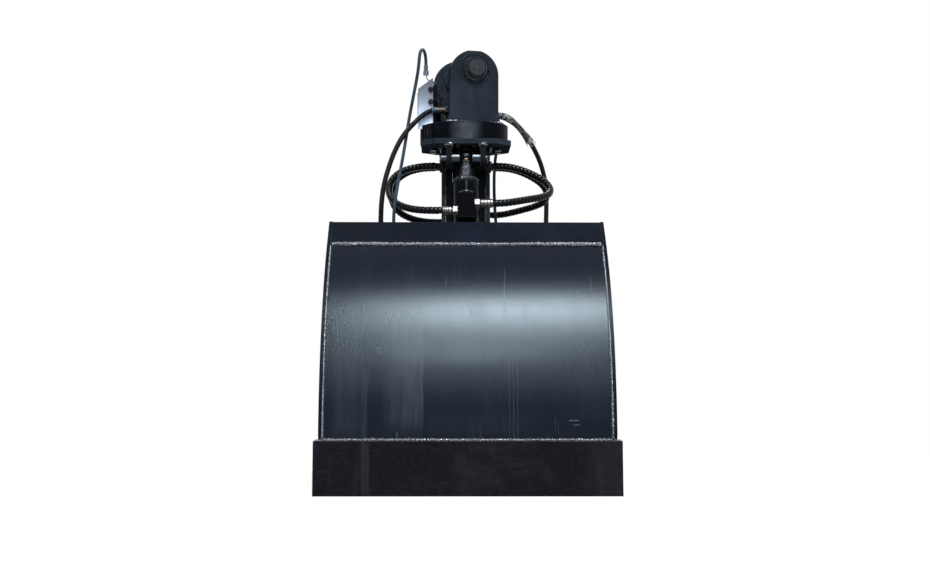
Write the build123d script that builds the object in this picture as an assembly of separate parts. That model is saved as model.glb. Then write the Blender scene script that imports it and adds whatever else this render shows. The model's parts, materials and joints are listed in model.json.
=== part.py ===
from build123d import *
from math import acos, atan2, cos, degrees, hypot, pi, radians, sin, tan
import os

# A hydraulic clamshell bucket that stands open on its two cutting edges.
# Millimetres. +X is the width, -Y the front jaw's side and +Z up.
# The origin lies on the floor, under the slewing axis.

# Jaw sizes
jaw_width = 800.0
side_plate = 10.0
shell_sheet = 8.0
band_plate = 14.0
rim = 4.0
band_height = 96.0
band_inset = 2.0
band_step = 4.0
band_slope = 43.5
knife_slope = 85.5
shell_radius = 834.0
jaw_top_out = 243.0
jaw_top_z = 762.0
knife_width = 825.0
knife_height = 145.0
knife_plate = 16.0
knife_land = 4.0
knife_gap = 1.0
side_gap = 5.0
shell_foot_share = 0.35
mouth_corner_drop = 20.0
beam_sheet = 8.0
beam_knee_out = 272.0
beam_knee_z = 640.0
beam_length = 285.0
beam_start = 8.0
arm_plate = 16.0
arm_hub_radius = 52.0
arm_upper_tangent = (-0.35, 0.94)
arm_lower_tangent = (-0.15, -0.99)
arm_window_out = 177.0
arm_window_z = 563.0
arm_window_radius = 26.0
lug_plate = 16.0
lug_radius = 36.0
lug_foot = 46.0
lug_shoulder = 12.0
lug_wing_start = 6.0
lug_wing_ease = 1.0

# Pivots, as distance out from the slewing axis and height
pivot_out = 70.0
pivot_z = 520.0
lug_out = 195.0
lug_z = 600.0
cylinder_pin_out = 90.0
cylinder_top_z = 968.0
running_fit = 0.05
face_gap = 0.3

# Pins
jaw_pin_radius = 20.0
jaw_pin_head_radius = 27.0
jaw_pin_head = 8.0
pin_chamfer = 2.0
cylinder_pin_radius = 15.0
cylinder_pin_left = 78.0
cylinder_pin_right = 66.0
lug_pin_radius = 15.0
lug_pin_waist = 12.0
lug_washer = 4.5
lug_washer_radius = 36.0
lug_pin_stub = 6.0
lug_pin_head = 5.0

# Cylinders
barrel_radius = 37.5
bore_radius = 30.0
barrel_start = 72.0
barrel_end = 318.0
barrel_cap = 16.0
eye_radius = 26.0
eye_width = 40.0
eye_round = 15.0
eye_neck = 40.0
eye_neck_round = 14.0
collar_radius = 39.5
collar_height = 8.0
gland_radius = 41.0
gland_height = 24.0
rod_radius = 17.5
piston_height = 28.0
piston_start = 92.0
seal_width = 3.0
seal_depth = 2.0
seal_places = (0.3, 0.7)
rod_eye_radius = 33.0
rod_eye_bore = 23.0
rod_eye_width = 38.0
rod_eye_seat = 4.0
port_block_width = 50.0
port_block_front = 73.0
port_block_start = 140.0
port_block_length = 78.0
port_block_seat = 6.0
port_block_round = 3.0
plug_neck = 4.0
plug_radius = 20.5
plug_height = 11.0
port_line = 50.0
left_port_along = 189.0
right_port_along = 166.0
left_fitting_end = 68.0
right_fitting_end = 77.0
port_nut = 14.0
port_sleeve_start = 20.0

# Centre frame
plate_outer = 74.0
column_sheet = 12.0
column_top_half = 58.0
column_shoulder_z = 860.0
column_low_half = 112.0
column_low_z = 560.0
column_foot_height = 92.0
column_hole_radius = 45.0
column_hole_z = 700.0
web_hole_share = 0.7
web_sheet = 12.0
clevis_inner = 43.0
clevis_sheet = 16.0
clevis_half = 36.0
spacer_wall = 5.0

# Slewing head
flange_bottom = 1009.0
flange_plate_height = 15.0
flange_chamfer = 45.0
flange_ledge = 6.0
bolt_count = 12
bolt_inset = 28.0
bolt_radius = 7.0
bolt_head_radius = 11.0
bolt_head_height = 9.0
bolt_grip = 24.0
housing_radius = 131.0
housing_top = 1078.0
housing_roof = 16.0
housing_wall = 12.0
lobe_outline = (
    (-60.0, 0.0), (-103.0, -81.0), (-140.0, -12.0), (-140.0, 40.0), (-112.0, 68.0), (-60.0, 116.0),
)
lobe_rib_places = (0.3, 0.55, 0.8)
lobe_rib_width = 6.0
lobe_rib_depth = 4.0
hub_radius = 50.0
post_radius = 28.0
ring_inside_bolts = 15.0
through_length = 3000.0
manifold_bottom = 905.0
manifold_half_x = 40.0
manifold_half_y = 42.0
manifold_chamfer = 10.0
loop_port_y = 22.0
loop_port_z = 954.0
adapter_radius = 13.0
hex_radius = 16.0
adapter_reach = 6.0
adapter_nut = 12.0
head_yaw = 15.0
ear_centre = 91.0
ear_sheet = 18.0
ear_half = 76.0
ear_round_z = 1223.0
ear_flat_z = 1296.5
ear_foot_flare = 7.0
ear_foot_height = 26.0
pin_z = 1240.0
suspension_pin_radius = 25.0
suspension_pin_end_radius = 24.7
link_seat_half = 73.0
collar_outer_radius = 36.0
collar_outer_height = 12.0
collar_inner_radius = 46.0
collar_inner_height = 8.0
pin_front = 128.0
pin_rear = 116.0
keeper_radius = 4.0
keeper_reach = 45.0
keeper_head = 5.8
keeper_head_height = 7.0
top_block_half_x = 62.0
top_block_half_y = 30.0
top_block_height = 62.0
top_block_chamfer = 4.0
supply_port_y = -16.0
left_supply_z = 1124.0
right_supply_z = 1117.0
left_supply_end = 88.0
right_supply_end = 92.0
motor_port_y = 14.0
motor_port_z = 1100.0
motor_port_end = 84.0
supply_adapter_radius = 9.5
motor_adapter_radius = 6.0
adapter_flats = 4.0
adapter_flats_height = 11.0
motor_x = -100.0
motor_y = 38.0
motor_radius = 30.0
motor_height = 96.0
motor_flange_radius = 34.0
motor_flange_height = 12.0
motor_cap_height = 10.0
motor_cap_step = 5.0
motor_groove_z = 40.0
motor_groove_width = 4.0
motor_groove_depth = 2.0
guard_sheet = 5.0
guard_right = 106.0
guard_front = 6.0
guard_low_top = 1190.0
guard_high_top = 1226.0
guard_tab_clearance = 9.0
guard_tab_right = housing_radius + guard_tab_clearance
guard_tab_width = 12.0
guard_left = guard_tab_right + guard_tab_width
guard_tab_z = 1066.0
guard_foot_right = 113.0
guard_foot_depth = 9.0
guard_foot_length = 19.0
guard_fold_start = 30.0
guard_fold_depth = 14.0
guard_fold_height = 70.0
guard_bolt_heights = (1151.0, 1189.0)
guard_bolt_inset = 8.0
guard_bolt_radius = 4.0
guard_nut_radius = 8.0
guard_head_height = 6.0
guard_nut_height = 4.0
guard_bolt_end = 1.0
bracket_sheet = 5.0
bracket_left = 112.5
bracket_right = 91.0
bracket_top = 1204.0

# Hoses
loop_hose_radius = 11.0
supply_hose_radius = 8.0
motor_hose_radius = 5.0
coupler_radius = 16.0
coupler_half = 48.0
coupler_z = 424.0
coupler_waist = 3.0
coupler_sleeve = 40.0
coupler_sleeve_x = 4.0
coupler_nut = 14.0
coupler_nut_x = -36.0
end_fitting_radius = 6.5
end_fitting_length = 30.0
end_fitting_shell = 18.0
end_fitting_nut = 13.0
end_fitting_step = 2.0

front, rear = -1, 1
names = {front: "front", rear: "rear"}
os.makedirs("parts", exist_ok=True)
column_bottom_z = pivot_z - column_foot_height / 2
flange_top = flange_bottom + flange_plate_height
bolt_circle_radius = housing_radius - bolt_inset
ring_inner_radius = bolt_circle_radius - ring_inside_bolts


def closing_turn():
    """Degrees by which a jaw turns until the knives are knife_gap apart."""
    out = knife_tip_out() - knife_land - pivot_out
    open_angle = atan2(-pivot_z, out)
    closed_angle = -acos((knife_gap / 2 - pivot_out) / hypot(out, pivot_z))
    return degrees(open_angle - closed_angle)


def heading(slope):
    """Unit vector that leads outwards and down at a slope, in the side view."""
    return Vector(cos(radians(slope)), -sin(radians(slope)))


def inward(slope):
    """Unit vector into the jaw, square to a heading."""
    return Vector(-sin(radians(slope)), -cos(radians(slope)))


jaw_top = Vector(jaw_top_out, jaw_top_z)
band_end = jaw_top + heading(band_slope) * band_height
arc_centre = band_end + inward(band_slope) * shell_radius
shell_end = arc_centre - inward(knife_slope) * shell_radius


def knife_tip_out():
    """How far out the knife's outer face meets the floor."""
    foot = shell_end.X + shell_end.Y / tan(radians(knife_slope))
    return foot + (knife_plate - rim) / sin(radians(knife_slope))


def skin_points(depth):
    """Band top, band end, arc middle, arc end and foot, at a depth under the jaw's outline."""
    middle = (band_slope + knife_slope) / 2
    top = jaw_top + inward(band_slope) * depth
    start = band_end + inward(band_slope) * depth
    crest = arc_centre - inward(middle) * (shell_radius - depth)
    end = arc_centre - inward(knife_slope) * (shell_radius - depth)
    foot = end + heading(knife_slope) * (end.Y / sin(radians(knife_slope)))
    return top, start, crest, end, foot


def side_sketch(side, *edges):
    """A face in the side view, from edges given as distance out and height."""
    face = make_face(list(edges))
    turned = Plane((0, 0, 0), x_dir=(0, side, 0), z_dir=(side, 0, 0)) * face
    return turned


def plate(face, inner, outer):
    """Two plates from a side view face, between two distances from the middle."""
    near = Pos(inner, 0, 0) * extrude(face, outer - inner, dir=(1, 0, 0))
    return near + mirror(near, Plane.YZ)


def across(face, half):
    """A solid from a side view face, that reaches half to each side of the middle."""
    return Pos(-half, 0, 0) * extrude(face, 2 * half, dir=(1, 0, 0))


def cross_pin(side, out, z, radius, left, right):
    """A round bar along X at a pivot."""
    return Pos(-left, side * out, z) * Rot(0, 90, 0) * Cylinder(
        radius, left + right, align=(Align.CENTER, Align.CENTER, Align.MIN)
    )


def save(name, *solids):
    """Write one node of separate solids."""
    whole = [s for part in solids for s in part.solids()]
    for solid in whole:
        solid.label = name
    export_step(whole[0] if len(whole) == 1 else Compound(children=whole), f"parts/{name}.step")


def closing_line(gap):
    """The mouth edge of the open jaw: its upper corner and the way down along it."""
    turn = radians(closing_turn())
    along = Vector(sin(turn), -cos(turn))
    normal = Vector(cos(turn), sin(turn))
    near = Vector(pivot_out, pivot_z) + normal * (gap / 2 - pivot_out)
    return near + along * mouth_corner_drop, along


def meeting(point, along, other, other_along):
    """Where two lines of the side view cross."""
    step = (other - point).cross(other_along).Z / along.cross(other_along).Z
    return point + along * step


def side_plates(side):
    """The two end plates, whose rims stand proud of the shell down to the knife."""
    top, start, crest, end, _ = skin_points(0)
    step = end + inward(knife_slope) * rim
    upper, along = closing_line(side_gap)
    foot = meeting(step, heading(knife_slope), upper, along)
    edges = [Line(top, start), ThreePointArc(start, crest, end), Polyline(end, step, foot, upper, top)]
    face = side_sketch(side, *edges)
    return plate(face, jaw_width / 2 - side_plate, jaw_width / 2)


def shell(side):
    outer, inner = skin_points(rim), skin_points(rim + shell_sheet)
    low = knife_height * shell_foot_share
    foot = outer[3] + heading(knife_slope) * (outer[3].Y - low)
    inner_foot = inner[3] + heading(knife_slope) * (inner[3].Y - low)
    edges = [
        ThreePointArc(*outer[1:4]),
        Polyline(outer[3], foot, inner_foot, inner[3]),
        ThreePointArc(*inner[3:0:-1]),
        Line(inner[1], outer[1]),
    ]
    return across(side_sketch(side, *edges), jaw_width / 2 - side_plate)


def band(side):
    """The thick lip plate along the jaw's top."""
    reach = band_height + band_step
    top = jaw_top + inward(band_slope) * band_inset
    low = top + heading(band_slope) * reach
    deep = inward(band_slope) * (rim - band_inset)
    back = inward(band_slope) * band_plate
    shelf = top + heading(band_slope) * band_height
    edges = Polyline(top, low, low + deep, shelf + deep, shelf + back, top + back, close=True)
    return across(side_sketch(side, edges), jaw_width / 2 - side_plate)


def knife(side):
    """The cutting edge plate, flat on the floor and bevelled to meet its twin."""
    outer_foot = Vector(knife_tip_out(), 0)
    rise = heading(knife_slope) * -1
    top = outer_foot + rise * (knife_height / sin(radians(knife_slope)))
    inner_top = top + inward(knife_slope) * knife_plate
    land_end = outer_foot - Vector(knife_land, 0)
    turn = radians(closing_turn())
    bevel = Vector(-sin(turn), cos(turn))
    face_foot = outer_foot + inward(knife_slope) * knife_plate
    bevel_end = meeting(land_end, bevel, face_foot, rise)
    edges = Polyline(outer_foot, top, inner_top, bevel_end, land_end, close=True)
    return across(side_sketch(side, edges), knife_width / 2)


def miter(points, depth):
    """A polyline moved sideways, with its corners kept sharp."""
    moved = []
    for i, point in enumerate(points):
        before = (point - points[i - 1]).normalized() if i else None
        after = (points[i + 1] - point).normalized() if i + 1 < len(points) else None
        first = before or after
        last = after or before
        normal = Vector(first.Y, -first.X) + Vector(last.Y, -last.X)
        moved.append(point + normal * (depth / (1 + first.dot(last))))
    return moved


def beam_line():
    """The folded stiffener behind the lip, on the inner skin at both ends."""
    back = inward(band_slope) * (band_inset + band_plate)
    start = jaw_top + back + heading(band_slope) * beam_start
    angle = radians(band_slope) + (beam_length - band_height) / shell_radius
    end = arc_centre - inward(degrees(angle)) * (shell_radius - rim - shell_sheet)
    return [start, Vector(beam_knee_out, beam_knee_z), end]


def beam(side):
    line = beam_line()
    inner = miter(line, beam_sheet)
    edges = Polyline(*line, *inner[::-1], close=True)
    return across(side_sketch(side, edges), jaw_width / 2 - side_plate)


def arms(side):
    """Two plates that carry the jaw from its pivot."""
    seat = miter(beam_line(), beam_sheet)
    pivot = Vector(pivot_out, pivot_z)
    upper = pivot + Vector(*arm_upper_tangent).normalized() * arm_hub_radius
    lower = pivot + Vector(*arm_lower_tangent).normalized() * arm_hub_radius
    wing = Polyline(upper, seat[0], seat[1], seat[2], lower, close=True)
    face = side_sketch(side, wing)
    hub = Pos(0, side * pivot_out, pivot_z) * Rot(0, 90, 0) * Circle(arm_hub_radius)
    inner = plate_outer + face_gap
    solid = plate(face, inner, inner + arm_plate)
    solid += plate(hub, inner, inner + arm_plate)
    bore = cross_pin(side, pivot_out, pivot_z, jaw_pin_radius + running_fit, jaw_width, jaw_width)
    window = cross_pin(side, arm_window_out, arm_window_z, arm_window_radius, jaw_width, jaw_width)
    return solid - bore - window


def lugs(side):
    """Two ears that hold the rod's pin, on the stiffener."""
    seat = miter(beam_line(), beam_sheet)
    drop = (seat[2] - seat[1]).normalized()
    rise = (seat[0] - seat[1]).normalized()
    wing_half = lug_radius - lug_wing_ease
    wing = Polyline(
        Vector(lug_out - lug_wing_start, lug_z + wing_half),
        seat[1] + rise * lug_shoulder,
        seat[1],
        seat[1] + drop * lug_foot,
        Vector(lug_out - lug_wing_start, lug_z - wing_half),
        close=True,
    )
    face = side_sketch(side, wing)
    ring = Pos(0, side * lug_out, lug_z) * Rot(0, 90, 0) * Circle(lug_radius)
    inner = rod_eye_width / 2 + face_gap + lug_washer
    solid = plate(face, inner, inner + lug_plate) + plate(ring, inner, inner + lug_plate)
    return solid - cross_pin(side, lug_out, lug_z, lug_pin_radius + running_fit, jaw_width, jaw_width)


def lug_pin(side):
    """The stepped pin that the rod's eye works on, with its two wide washers."""
    face = rod_eye_width / 2 + face_gap
    end = face + lug_washer + lug_plate + lug_pin_stub
    solid = cross_pin(side, lug_out, lug_z, lug_pin_waist, face, face)
    half = cross_pin(side, lug_out, lug_z, lug_pin_radius, -face, end)
    half += cross_pin(side, lug_out, lug_z, lug_washer_radius, -face, face + lug_washer)
    half += cross_pin(side, lug_out, lug_z, lug_pin_radius + lug_pin_head, lug_pin_head - end, end)
    return solid + half + mirror(half, Plane.YZ)


def cylinder_frame(side):
    """The upper pin's centre, with local Z down the cylinder and X across it."""
    down = Vector(0, side * (lug_out - cylinder_pin_out), lug_z - cylinder_top_z)
    return Plane((0, side * cylinder_pin_out, cylinder_top_z), x_dir=(1, 0, 0), z_dir=down)


pin_to_pin = hypot(lug_out - cylinder_pin_out, cylinder_top_z - lug_z)
bottom = (Align.CENTER, Align.CENTER, Align.MIN)


def barrel(side):
    eye = Rot(0, 90, 0) * Cylinder(eye_radius, eye_width)
    eye = fillet(eye.edges().filter_by(GeomType.CIRCLE), eye_round)
    neck = Pos(0, 0, barrel_start / 2) * Box(eye_neck, eye_neck, barrel_start)
    neck = fillet(neck.edges().filter_by(Axis.Z), eye_neck_round)
    body = Pos(0, 0, barrel_start) * Cylinder(barrel_radius, barrel_end - barrel_start, align=bottom)
    collar = Pos(0, 0, barrel_start) * Cylinder(collar_radius, collar_height, align=bottom)
    bore_start = barrel_start + barrel_cap
    bore = Pos(0, 0, bore_start) * Cylinder(bore_radius, barrel_end - bore_start, align=bottom)
    pin = Rot(0, 90, 0) * Cylinder(cylinder_pin_radius + running_fit, 2 * eye_width)
    return cylinder_frame(side) * (eye + neck + collar + body - bore - pin)


def gland(side):
    """The screwed end of the barrel that guides the rod."""
    flange = Pos(0, 0, barrel_end) * Cylinder(gland_radius, gland_height / 3, align=bottom)
    nose = Pos(0, 0, barrel_end - gland_height) * Cylinder(
        bore_radius - running_fit, gland_height, align=bottom
    )
    hole = Pos(0, 0, barrel_end - gland_height) * Cylinder(
        rod_radius + running_fit, 2 * gland_height, align=bottom
    )
    return cylinder_frame(side) * (flange + nose - hole)


def port_block(side):
    """The valve block on the barrel's outer side, with the plug on its top."""
    out = -side
    middle = (port_block_front + barrel_radius - port_block_seat) / 2
    depth = port_block_front - barrel_radius + port_block_seat
    block = Pos(0, out * middle, port_block_start) * Box(
        port_block_width, depth, port_block_length, align=bottom
    )
    block = fillet(block.edges().filter_by(Axis.Z), port_block_round)
    plug = Pos(0, out * (port_block_front - plug_radius), port_block_start - plug_height)
    block += plug * Cylinder(plug_radius - plug_neck, plug_height, align=bottom)
    block += Pos(0, 0, plug_height / 3) * plug * Cylinder(plug_radius, plug_height / 3, align=bottom)
    round_seat = Cylinder(barrel_radius + running_fit, 3 * barrel_end)
    return cylinder_frame(side) * (block - round_seat)


def port_fitting(side, along, end, hand):
    """A hose fitting on one side of the port block."""
    start = port_block_width / 2
    place = Pos(hand * start, -side * port_line, along) * Rot(0, hand * 90, 0)
    collar = RegularPolygon(hex_radius, 6)
    nut = extrude(collar, port_nut)
    stem = Cylinder(loop_hose_radius - 1, end - start, align=bottom)
    sleeve = Pos(0, 0, port_sleeve_start) * Cylinder(
        adapter_radius, end - start - port_sleeve_start, align=bottom
    )
    return cylinder_frame(side) * place * (nut + stem + sleeve)


def port_fittings(side):
    return [
        port_fitting(side, left_port_along, left_fitting_end, -1),
        port_fitting(side, right_port_along, right_fitting_end, 1),
    ]


def rod(side):
    start = piston_start + piston_height
    length = pin_to_pin - rod_eye_bore - rod_eye_seat - start
    shaft = Pos(0, 0, start) * Cylinder(rod_radius, length, align=bottom)
    eye = Pos(0, 0, pin_to_pin) * Rot(0, 90, 0) * Cylinder(rod_eye_radius, rod_eye_width)
    bore = Pos(0, 0, pin_to_pin) * Rot(0, 90, 0) * Cylinder(rod_eye_bore, 2 * rod_eye_width)
    return cylinder_frame(side) * (shaft + eye - bore)


def piston(side):
    body = Cylinder(bore_radius - running_fit, piston_height, align=bottom)
    for height in seal_places:
        groove = Cylinder(bore_radius, seal_width) - Cylinder(bore_radius - seal_depth, seal_width)
        body -= Pos(0, 0, height * piston_height) * groove
    return cylinder_frame(side) * Pos(0, 0, piston_start) * body


def flange_shape():
    chamfer_plate = Rectangle(2 * (housing_radius + flange_ledge), 2 * housing_radius)
    return chamfer(chamfer_plate.vertices(), flange_chamfer)


def bolt_places():
    return PolarLocations(bolt_circle_radius, bolt_count, start_angle=180 / bolt_count)


def flange_plate():
    body = Pos(0, 0, flange_bottom) * extrude(flange_shape(), flange_plate_height)
    hole = Cylinder(post_radius + running_fit, through_length)
    bolt_holes = bolt_places() * Cylinder(bolt_radius + running_fit, through_length)
    return body - hole - bolt_holes


def flange_bolts():
    head = Pos(0, 0, flange_bottom - bolt_head_height) * extrude(
        RegularPolygon(bolt_head_radius, 6), bolt_head_height
    )
    shank = Pos(0, 0, flange_bottom) * Cylinder(bolt_radius, bolt_grip, align=bottom)
    return bolt_places() * (head + shank)


def slew_ring():
    """The fixed race under the housing, bolted to the flange plate."""
    height = housing_top - housing_roof - face_gap - flange_top
    outer = housing_radius - housing_wall - face_gap
    body = Pos(0, 0, flange_top) * Cylinder(outer, height, align=bottom)
    body -= Cylinder(ring_inner_radius, through_length)
    depth = bolt_grip - flange_plate_height + 2
    hole = Pos(0, 0, flange_top) * Cylinder(bolt_radius + running_fit, depth, align=bottom)
    return body - bolt_places() * hole


def swivel_manifold():
    """The oil swivel: a ported block under the flange, and its post up through the slewing ring."""
    height = flange_bottom - manifold_bottom
    block = Pos(0, 0, manifold_bottom) * Box(
        2 * manifold_half_x, 2 * manifold_half_y, height, align=bottom
    )
    block = chamfer(block.edges().filter_by(Axis.Z), manifold_chamfer)
    post = Pos(0, 0, manifold_bottom) * Cylinder(
        post_radius, housing_top - housing_roof / 2 - manifold_bottom, align=bottom
    )
    return block + post


def swivel_adapters():
    """Four elbow-free adapters from the swivel out through the column plates."""
    parts = []
    length = plate_outer + adapter_reach - manifold_half_x
    for hand in (-1, 1):
        for side in (front, rear):
            place = Pos(hand * manifold_half_x, side * loop_port_y, loop_port_z)
            stem = Cylinder(adapter_radius, length, align=bottom)
            nut = Pos(0, 0, length - adapter_nut) * extrude(RegularPolygon(hex_radius - 1, 6), adapter_nut)
            parts.append(place * Rot(0, hand * 90, 0) * (stem + nut))
    return parts


def column_plates():
    top = [(-column_top_half, flange_bottom), (column_top_half, flange_bottom)]
    right_side = [(column_top_half, column_shoulder_z), (column_low_half, column_low_z)]
    low = [(column_low_half, pivot_z), (-column_low_half, pivot_z)]
    left_side = [(-column_low_half, column_low_z), (-column_top_half, column_shoulder_z)]
    face = make_face([Polyline(*top, *right_side, *low, *left_side, close=True)])
    face += Pos(0, pivot_z) * SlotCenterToCenter(2 * pivot_out, column_foot_height)
    face -= Pos(0, column_hole_z) * Circle(column_hole_radius)
    for side in (front, rear):
        face -= Pos(side * pivot_out, pivot_z) * Circle(jaw_pin_radius + running_fit)
        face -= Pos(side * loop_port_y, loop_port_z) * Circle(hex_radius + 1)
    upright = Plane.YZ * face
    return plate(upright, plate_outer - column_sheet, plate_outer)


def column_web():
    """The middle plate between the two column plates."""
    height = flange_bottom - column_bottom_z
    inner = plate_outer - column_sheet
    body = Pos(0, 0, column_bottom_z) * Box(2 * inner, web_sheet, height, align=bottom)
    hole = Rot(90, 0, 0) * Cylinder(column_hole_radius * web_hole_share, 3 * web_sheet)
    seat = Pos(0, 0, manifold_bottom - face_gap) * Box(
        2 * (manifold_half_x + face_gap), 3 * web_sheet, height, align=bottom
    )
    return body - Pos(0, 0, column_hole_z) * hole - seat


def clevis_plates():
    """Four ears under the flange plate for the cylinders' upper pins."""
    parts = []
    for side in (front, rear):
        height = flange_bottom - cylinder_top_z
        ear = Pos(side * cylinder_pin_out, cylinder_top_z) * Circle(clevis_half)
        ear += Pos(side * cylinder_pin_out, cylinder_top_z + height / 2) * Rectangle(
            2 * clevis_half, height
        )
        ear -= Pos(side * cylinder_pin_out, cylinder_top_z) * Circle(cylinder_pin_radius + running_fit)
        parts.append(plate(Plane.YZ * ear, clevis_inner, clevis_inner + clevis_sheet))
    return parts


def cylinder_pins():
    parts = []
    for side in (front, rear):
        bar = cross_pin(
            side, cylinder_pin_out, cylinder_top_z, cylinder_pin_radius, cylinder_pin_left, cylinder_pin_right
        )
        parts.append(chamfer(bar.edges().filter_by(GeomType.CIRCLE), pin_chamfer))
    return parts


def pin_spacers():
    """Rings that centre each cylinder's eye between its clevis plates."""
    parts = []
    start = eye_width / 2 + face_gap
    for side in (front, rear):
        outer = cylinder_pin_radius + spacer_wall
        ring = cross_pin(side, cylinder_pin_out, cylinder_top_z, outer, -start, clevis_inner - face_gap)
        bore = cylinder_pin_radius + running_fit
        ring -= cross_pin(side, cylinder_pin_out, cylinder_top_z, bore, jaw_width, jaw_width)
        parts += [ring, mirror(ring, Plane.YZ)]
    return parts


def jaw_pins():
    """Two headed pins that carry the jaws."""
    parts = []
    grip = plate_outer + 2 * face_gap + arm_plate
    for side in (front, rear):
        bar = cross_pin(side, pivot_out, pivot_z, jaw_pin_radius, grip, grip)
        head = cross_pin(side, pivot_out, pivot_z, jaw_pin_head_radius, -grip, grip + jaw_pin_head)
        head = chamfer(head.edges().group_by(Axis.X)[-1], pin_chamfer)
        parts.append(bar + head + mirror(head, Plane.YZ))
    return parts


def turned(part):
    """Set a piece of the slewing head at its angle."""
    return Rot(0, 0, head_yaw) * part


def slew_housing():
    """The round gear case with its motor lobe on the left, open below."""
    base = flange_top + face_gap
    height = housing_top - base
    body = Pos(0, 0, base) * Cylinder(housing_radius, height, align=bottom)
    body += Pos(0, 0, base) * extrude(make_face(Polyline(*lobe_outline, close=True)), height)
    face_start, face_end = Vector(*lobe_outline[1]), Vector(*lobe_outline[2])
    run = face_end - face_start
    for share in lobe_rib_places:
        spot = face_start + run * share
        place = Pos(spot.X, spot.Y, base) * Rot(0, 0, degrees(atan2(run.Y, run.X)))
        body += place * Box(lobe_rib_width, 2 * lobe_rib_depth, height, align=bottom)
    roof_low = housing_top - housing_roof
    cavity = Pos(0, 0, base) * Cylinder(housing_radius - housing_wall, roof_low - base, align=bottom)
    hub = Pos(0, 0, base) * Cylinder(hub_radius, roof_low - base, align=bottom)
    depth = housing_top - housing_roof / 2 + face_gap - base
    bore = Pos(0, 0, base) * Cylinder(post_radius + running_fit, depth, align=bottom)
    return body - cavity + hub - bore


def ear(hand):
    """One upright suspension ear with a round head, flat on top."""
    above = ear_flat_z - ear_round_z
    face = Circle(ear_half) & Rectangle(4 * ear_half, 2 * above)
    face += Pos(0, (housing_top - ear_round_z) / 2) * Rectangle(2 * ear_half, ear_round_z - housing_top)
    wide, foot_top = ear_half + ear_foot_flare, housing_top - ear_round_z + ear_foot_height
    foot_low = housing_top - ear_round_z
    slant = [(ear_half, foot_top), (-ear_half, foot_top)]
    face += make_face(Polyline((-wide, foot_low), (wide, foot_low), *slant, close=True))
    bore = suspension_pin_radius if hand == front else suspension_pin_end_radius
    face -= Pos(0, pin_z - ear_round_z) * Circle(bore + running_fit)
    upright = Pos(0, 0, ear_round_z) * (Plane.XZ * face)
    body = Pos(0, hand * ear_centre + ear_sheet / 2, 0) * extrude(upright, ear_sheet)
    return turned(body)


def ring_on_pin(radius, bore, start, end):
    """A ring about the suspension pin, between two places along it."""
    place = Pos(0, start, pin_z) * Rot(-90, 0, 0)
    outer = Cylinder(radius, end - start, align=bottom)
    hole = Cylinder(bore + running_fit, end - start, align=bottom)
    return place * (outer - hole)


def pin_collars():
    """Welded wear rings on both faces of each ear."""
    outer = ear_centre + ear_sheet / 2
    inner = ear_centre - ear_sheet / 2
    wide, narrow = suspension_pin_radius, suspension_pin_end_radius
    front_ring = ring_on_pin(collar_outer_radius, wide, -outer - collar_outer_height, -outer)
    keeper_hole = Pos(0, -outer - collar_outer_height / 2, pin_z) * Rot(0, 90, 0) * Cylinder(
        keeper_radius + running_fit, 2 * keeper_reach, align=bottom
    )
    rear_ring = ring_on_pin(collar_outer_radius, narrow, outer, outer + collar_outer_height)
    front_wear = ring_on_pin(collar_inner_radius, wide, -inner, -inner + collar_inner_height)
    rear_wear = ring_on_pin(collar_inner_radius, narrow, inner - collar_inner_height, inner)
    return [turned(p) for p in (front_ring - keeper_hole, rear_ring, front_wear, rear_wear)]


def keeper_bolt():
    """The set bolt in the front ring, its tip just clear of the pin."""
    y = -(ear_centre + ear_sheet / 2 + collar_outer_height / 2)
    start = suspension_pin_radius + face_gap
    end = keeper_reach - keeper_head_height
    shank = Pos(start, y, pin_z) * Rot(0, 90, 0) * Cylinder(keeper_radius, end - start, align=bottom)
    hexagon = extrude(RegularPolygon(keeper_head, 6), keeper_head_height)
    head = Pos(end, y, pin_z) * Rot(0, 90, 0) * hexagon
    return turned(shank + head)


def suspension_pin():
    """The pin, a little thicker where the crane's link turns on it."""
    bar = Pos(0, -pin_front, pin_z) * Rot(-90, 0, 0) * Cylinder(
        suspension_pin_end_radius, pin_front + pin_rear, align=bottom
    )
    bar = chamfer(bar.edges().filter_by(GeomType.CIRCLE), pin_chamfer)
    seat = Pos(0, 0, pin_z) * Rot(90, 0, 0) * Cylinder(suspension_pin_radius, 2 * link_seat_half)
    return turned(bar + seat)


def top_manifold():
    """The oil block between the ears that the supply hoses screw into."""
    body = Pos(0, 0, housing_top) * Box(
        2 * top_block_half_x, 2 * top_block_half_y, top_block_height, align=bottom
    )
    return turned(chamfer(body.edges().filter_by(Axis.Z), top_block_chamfer))


def hose_adapter(hand, y, z, end, radius):
    """A straight hose fitting on one end of the top block."""
    length = end - top_block_half_x
    stem = Cylinder(radius, length, align=bottom)
    nut = extrude(RegularPolygon(radius + adapter_flats, 6), adapter_flats_height)
    return turned(Pos(hand * top_block_half_x, y, z) * Rot(0, hand * 90, 0) * (stem + nut))


def supply_adapters():
    return [
        hose_adapter(-1, supply_port_y, left_supply_z, left_supply_end, supply_adapter_radius),
        hose_adapter(1, supply_port_y, right_supply_z, right_supply_end, supply_adapter_radius),
        hose_adapter(1, motor_port_y, motor_port_z, motor_port_end, motor_adapter_radius),
    ]


def slew_motor():
    """The hydraulic motor that stands on the gear case's lobe."""
    foot = Cylinder(motor_flange_radius, motor_flange_height, align=bottom)
    body = Cylinder(motor_radius, motor_height, align=bottom)
    cap = Pos(0, 0, motor_height) * Cylinder(motor_radius - motor_cap_step, motor_cap_height, align=bottom)
    groove = Cylinder(motor_radius, motor_groove_width)
    groove -= Cylinder(motor_radius - motor_groove_depth, motor_groove_width)
    motor = foot + body + cap - Pos(0, 0, motor_groove_z) * groove
    return turned(Pos(motor_x, motor_y, housing_top) * motor)


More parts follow.
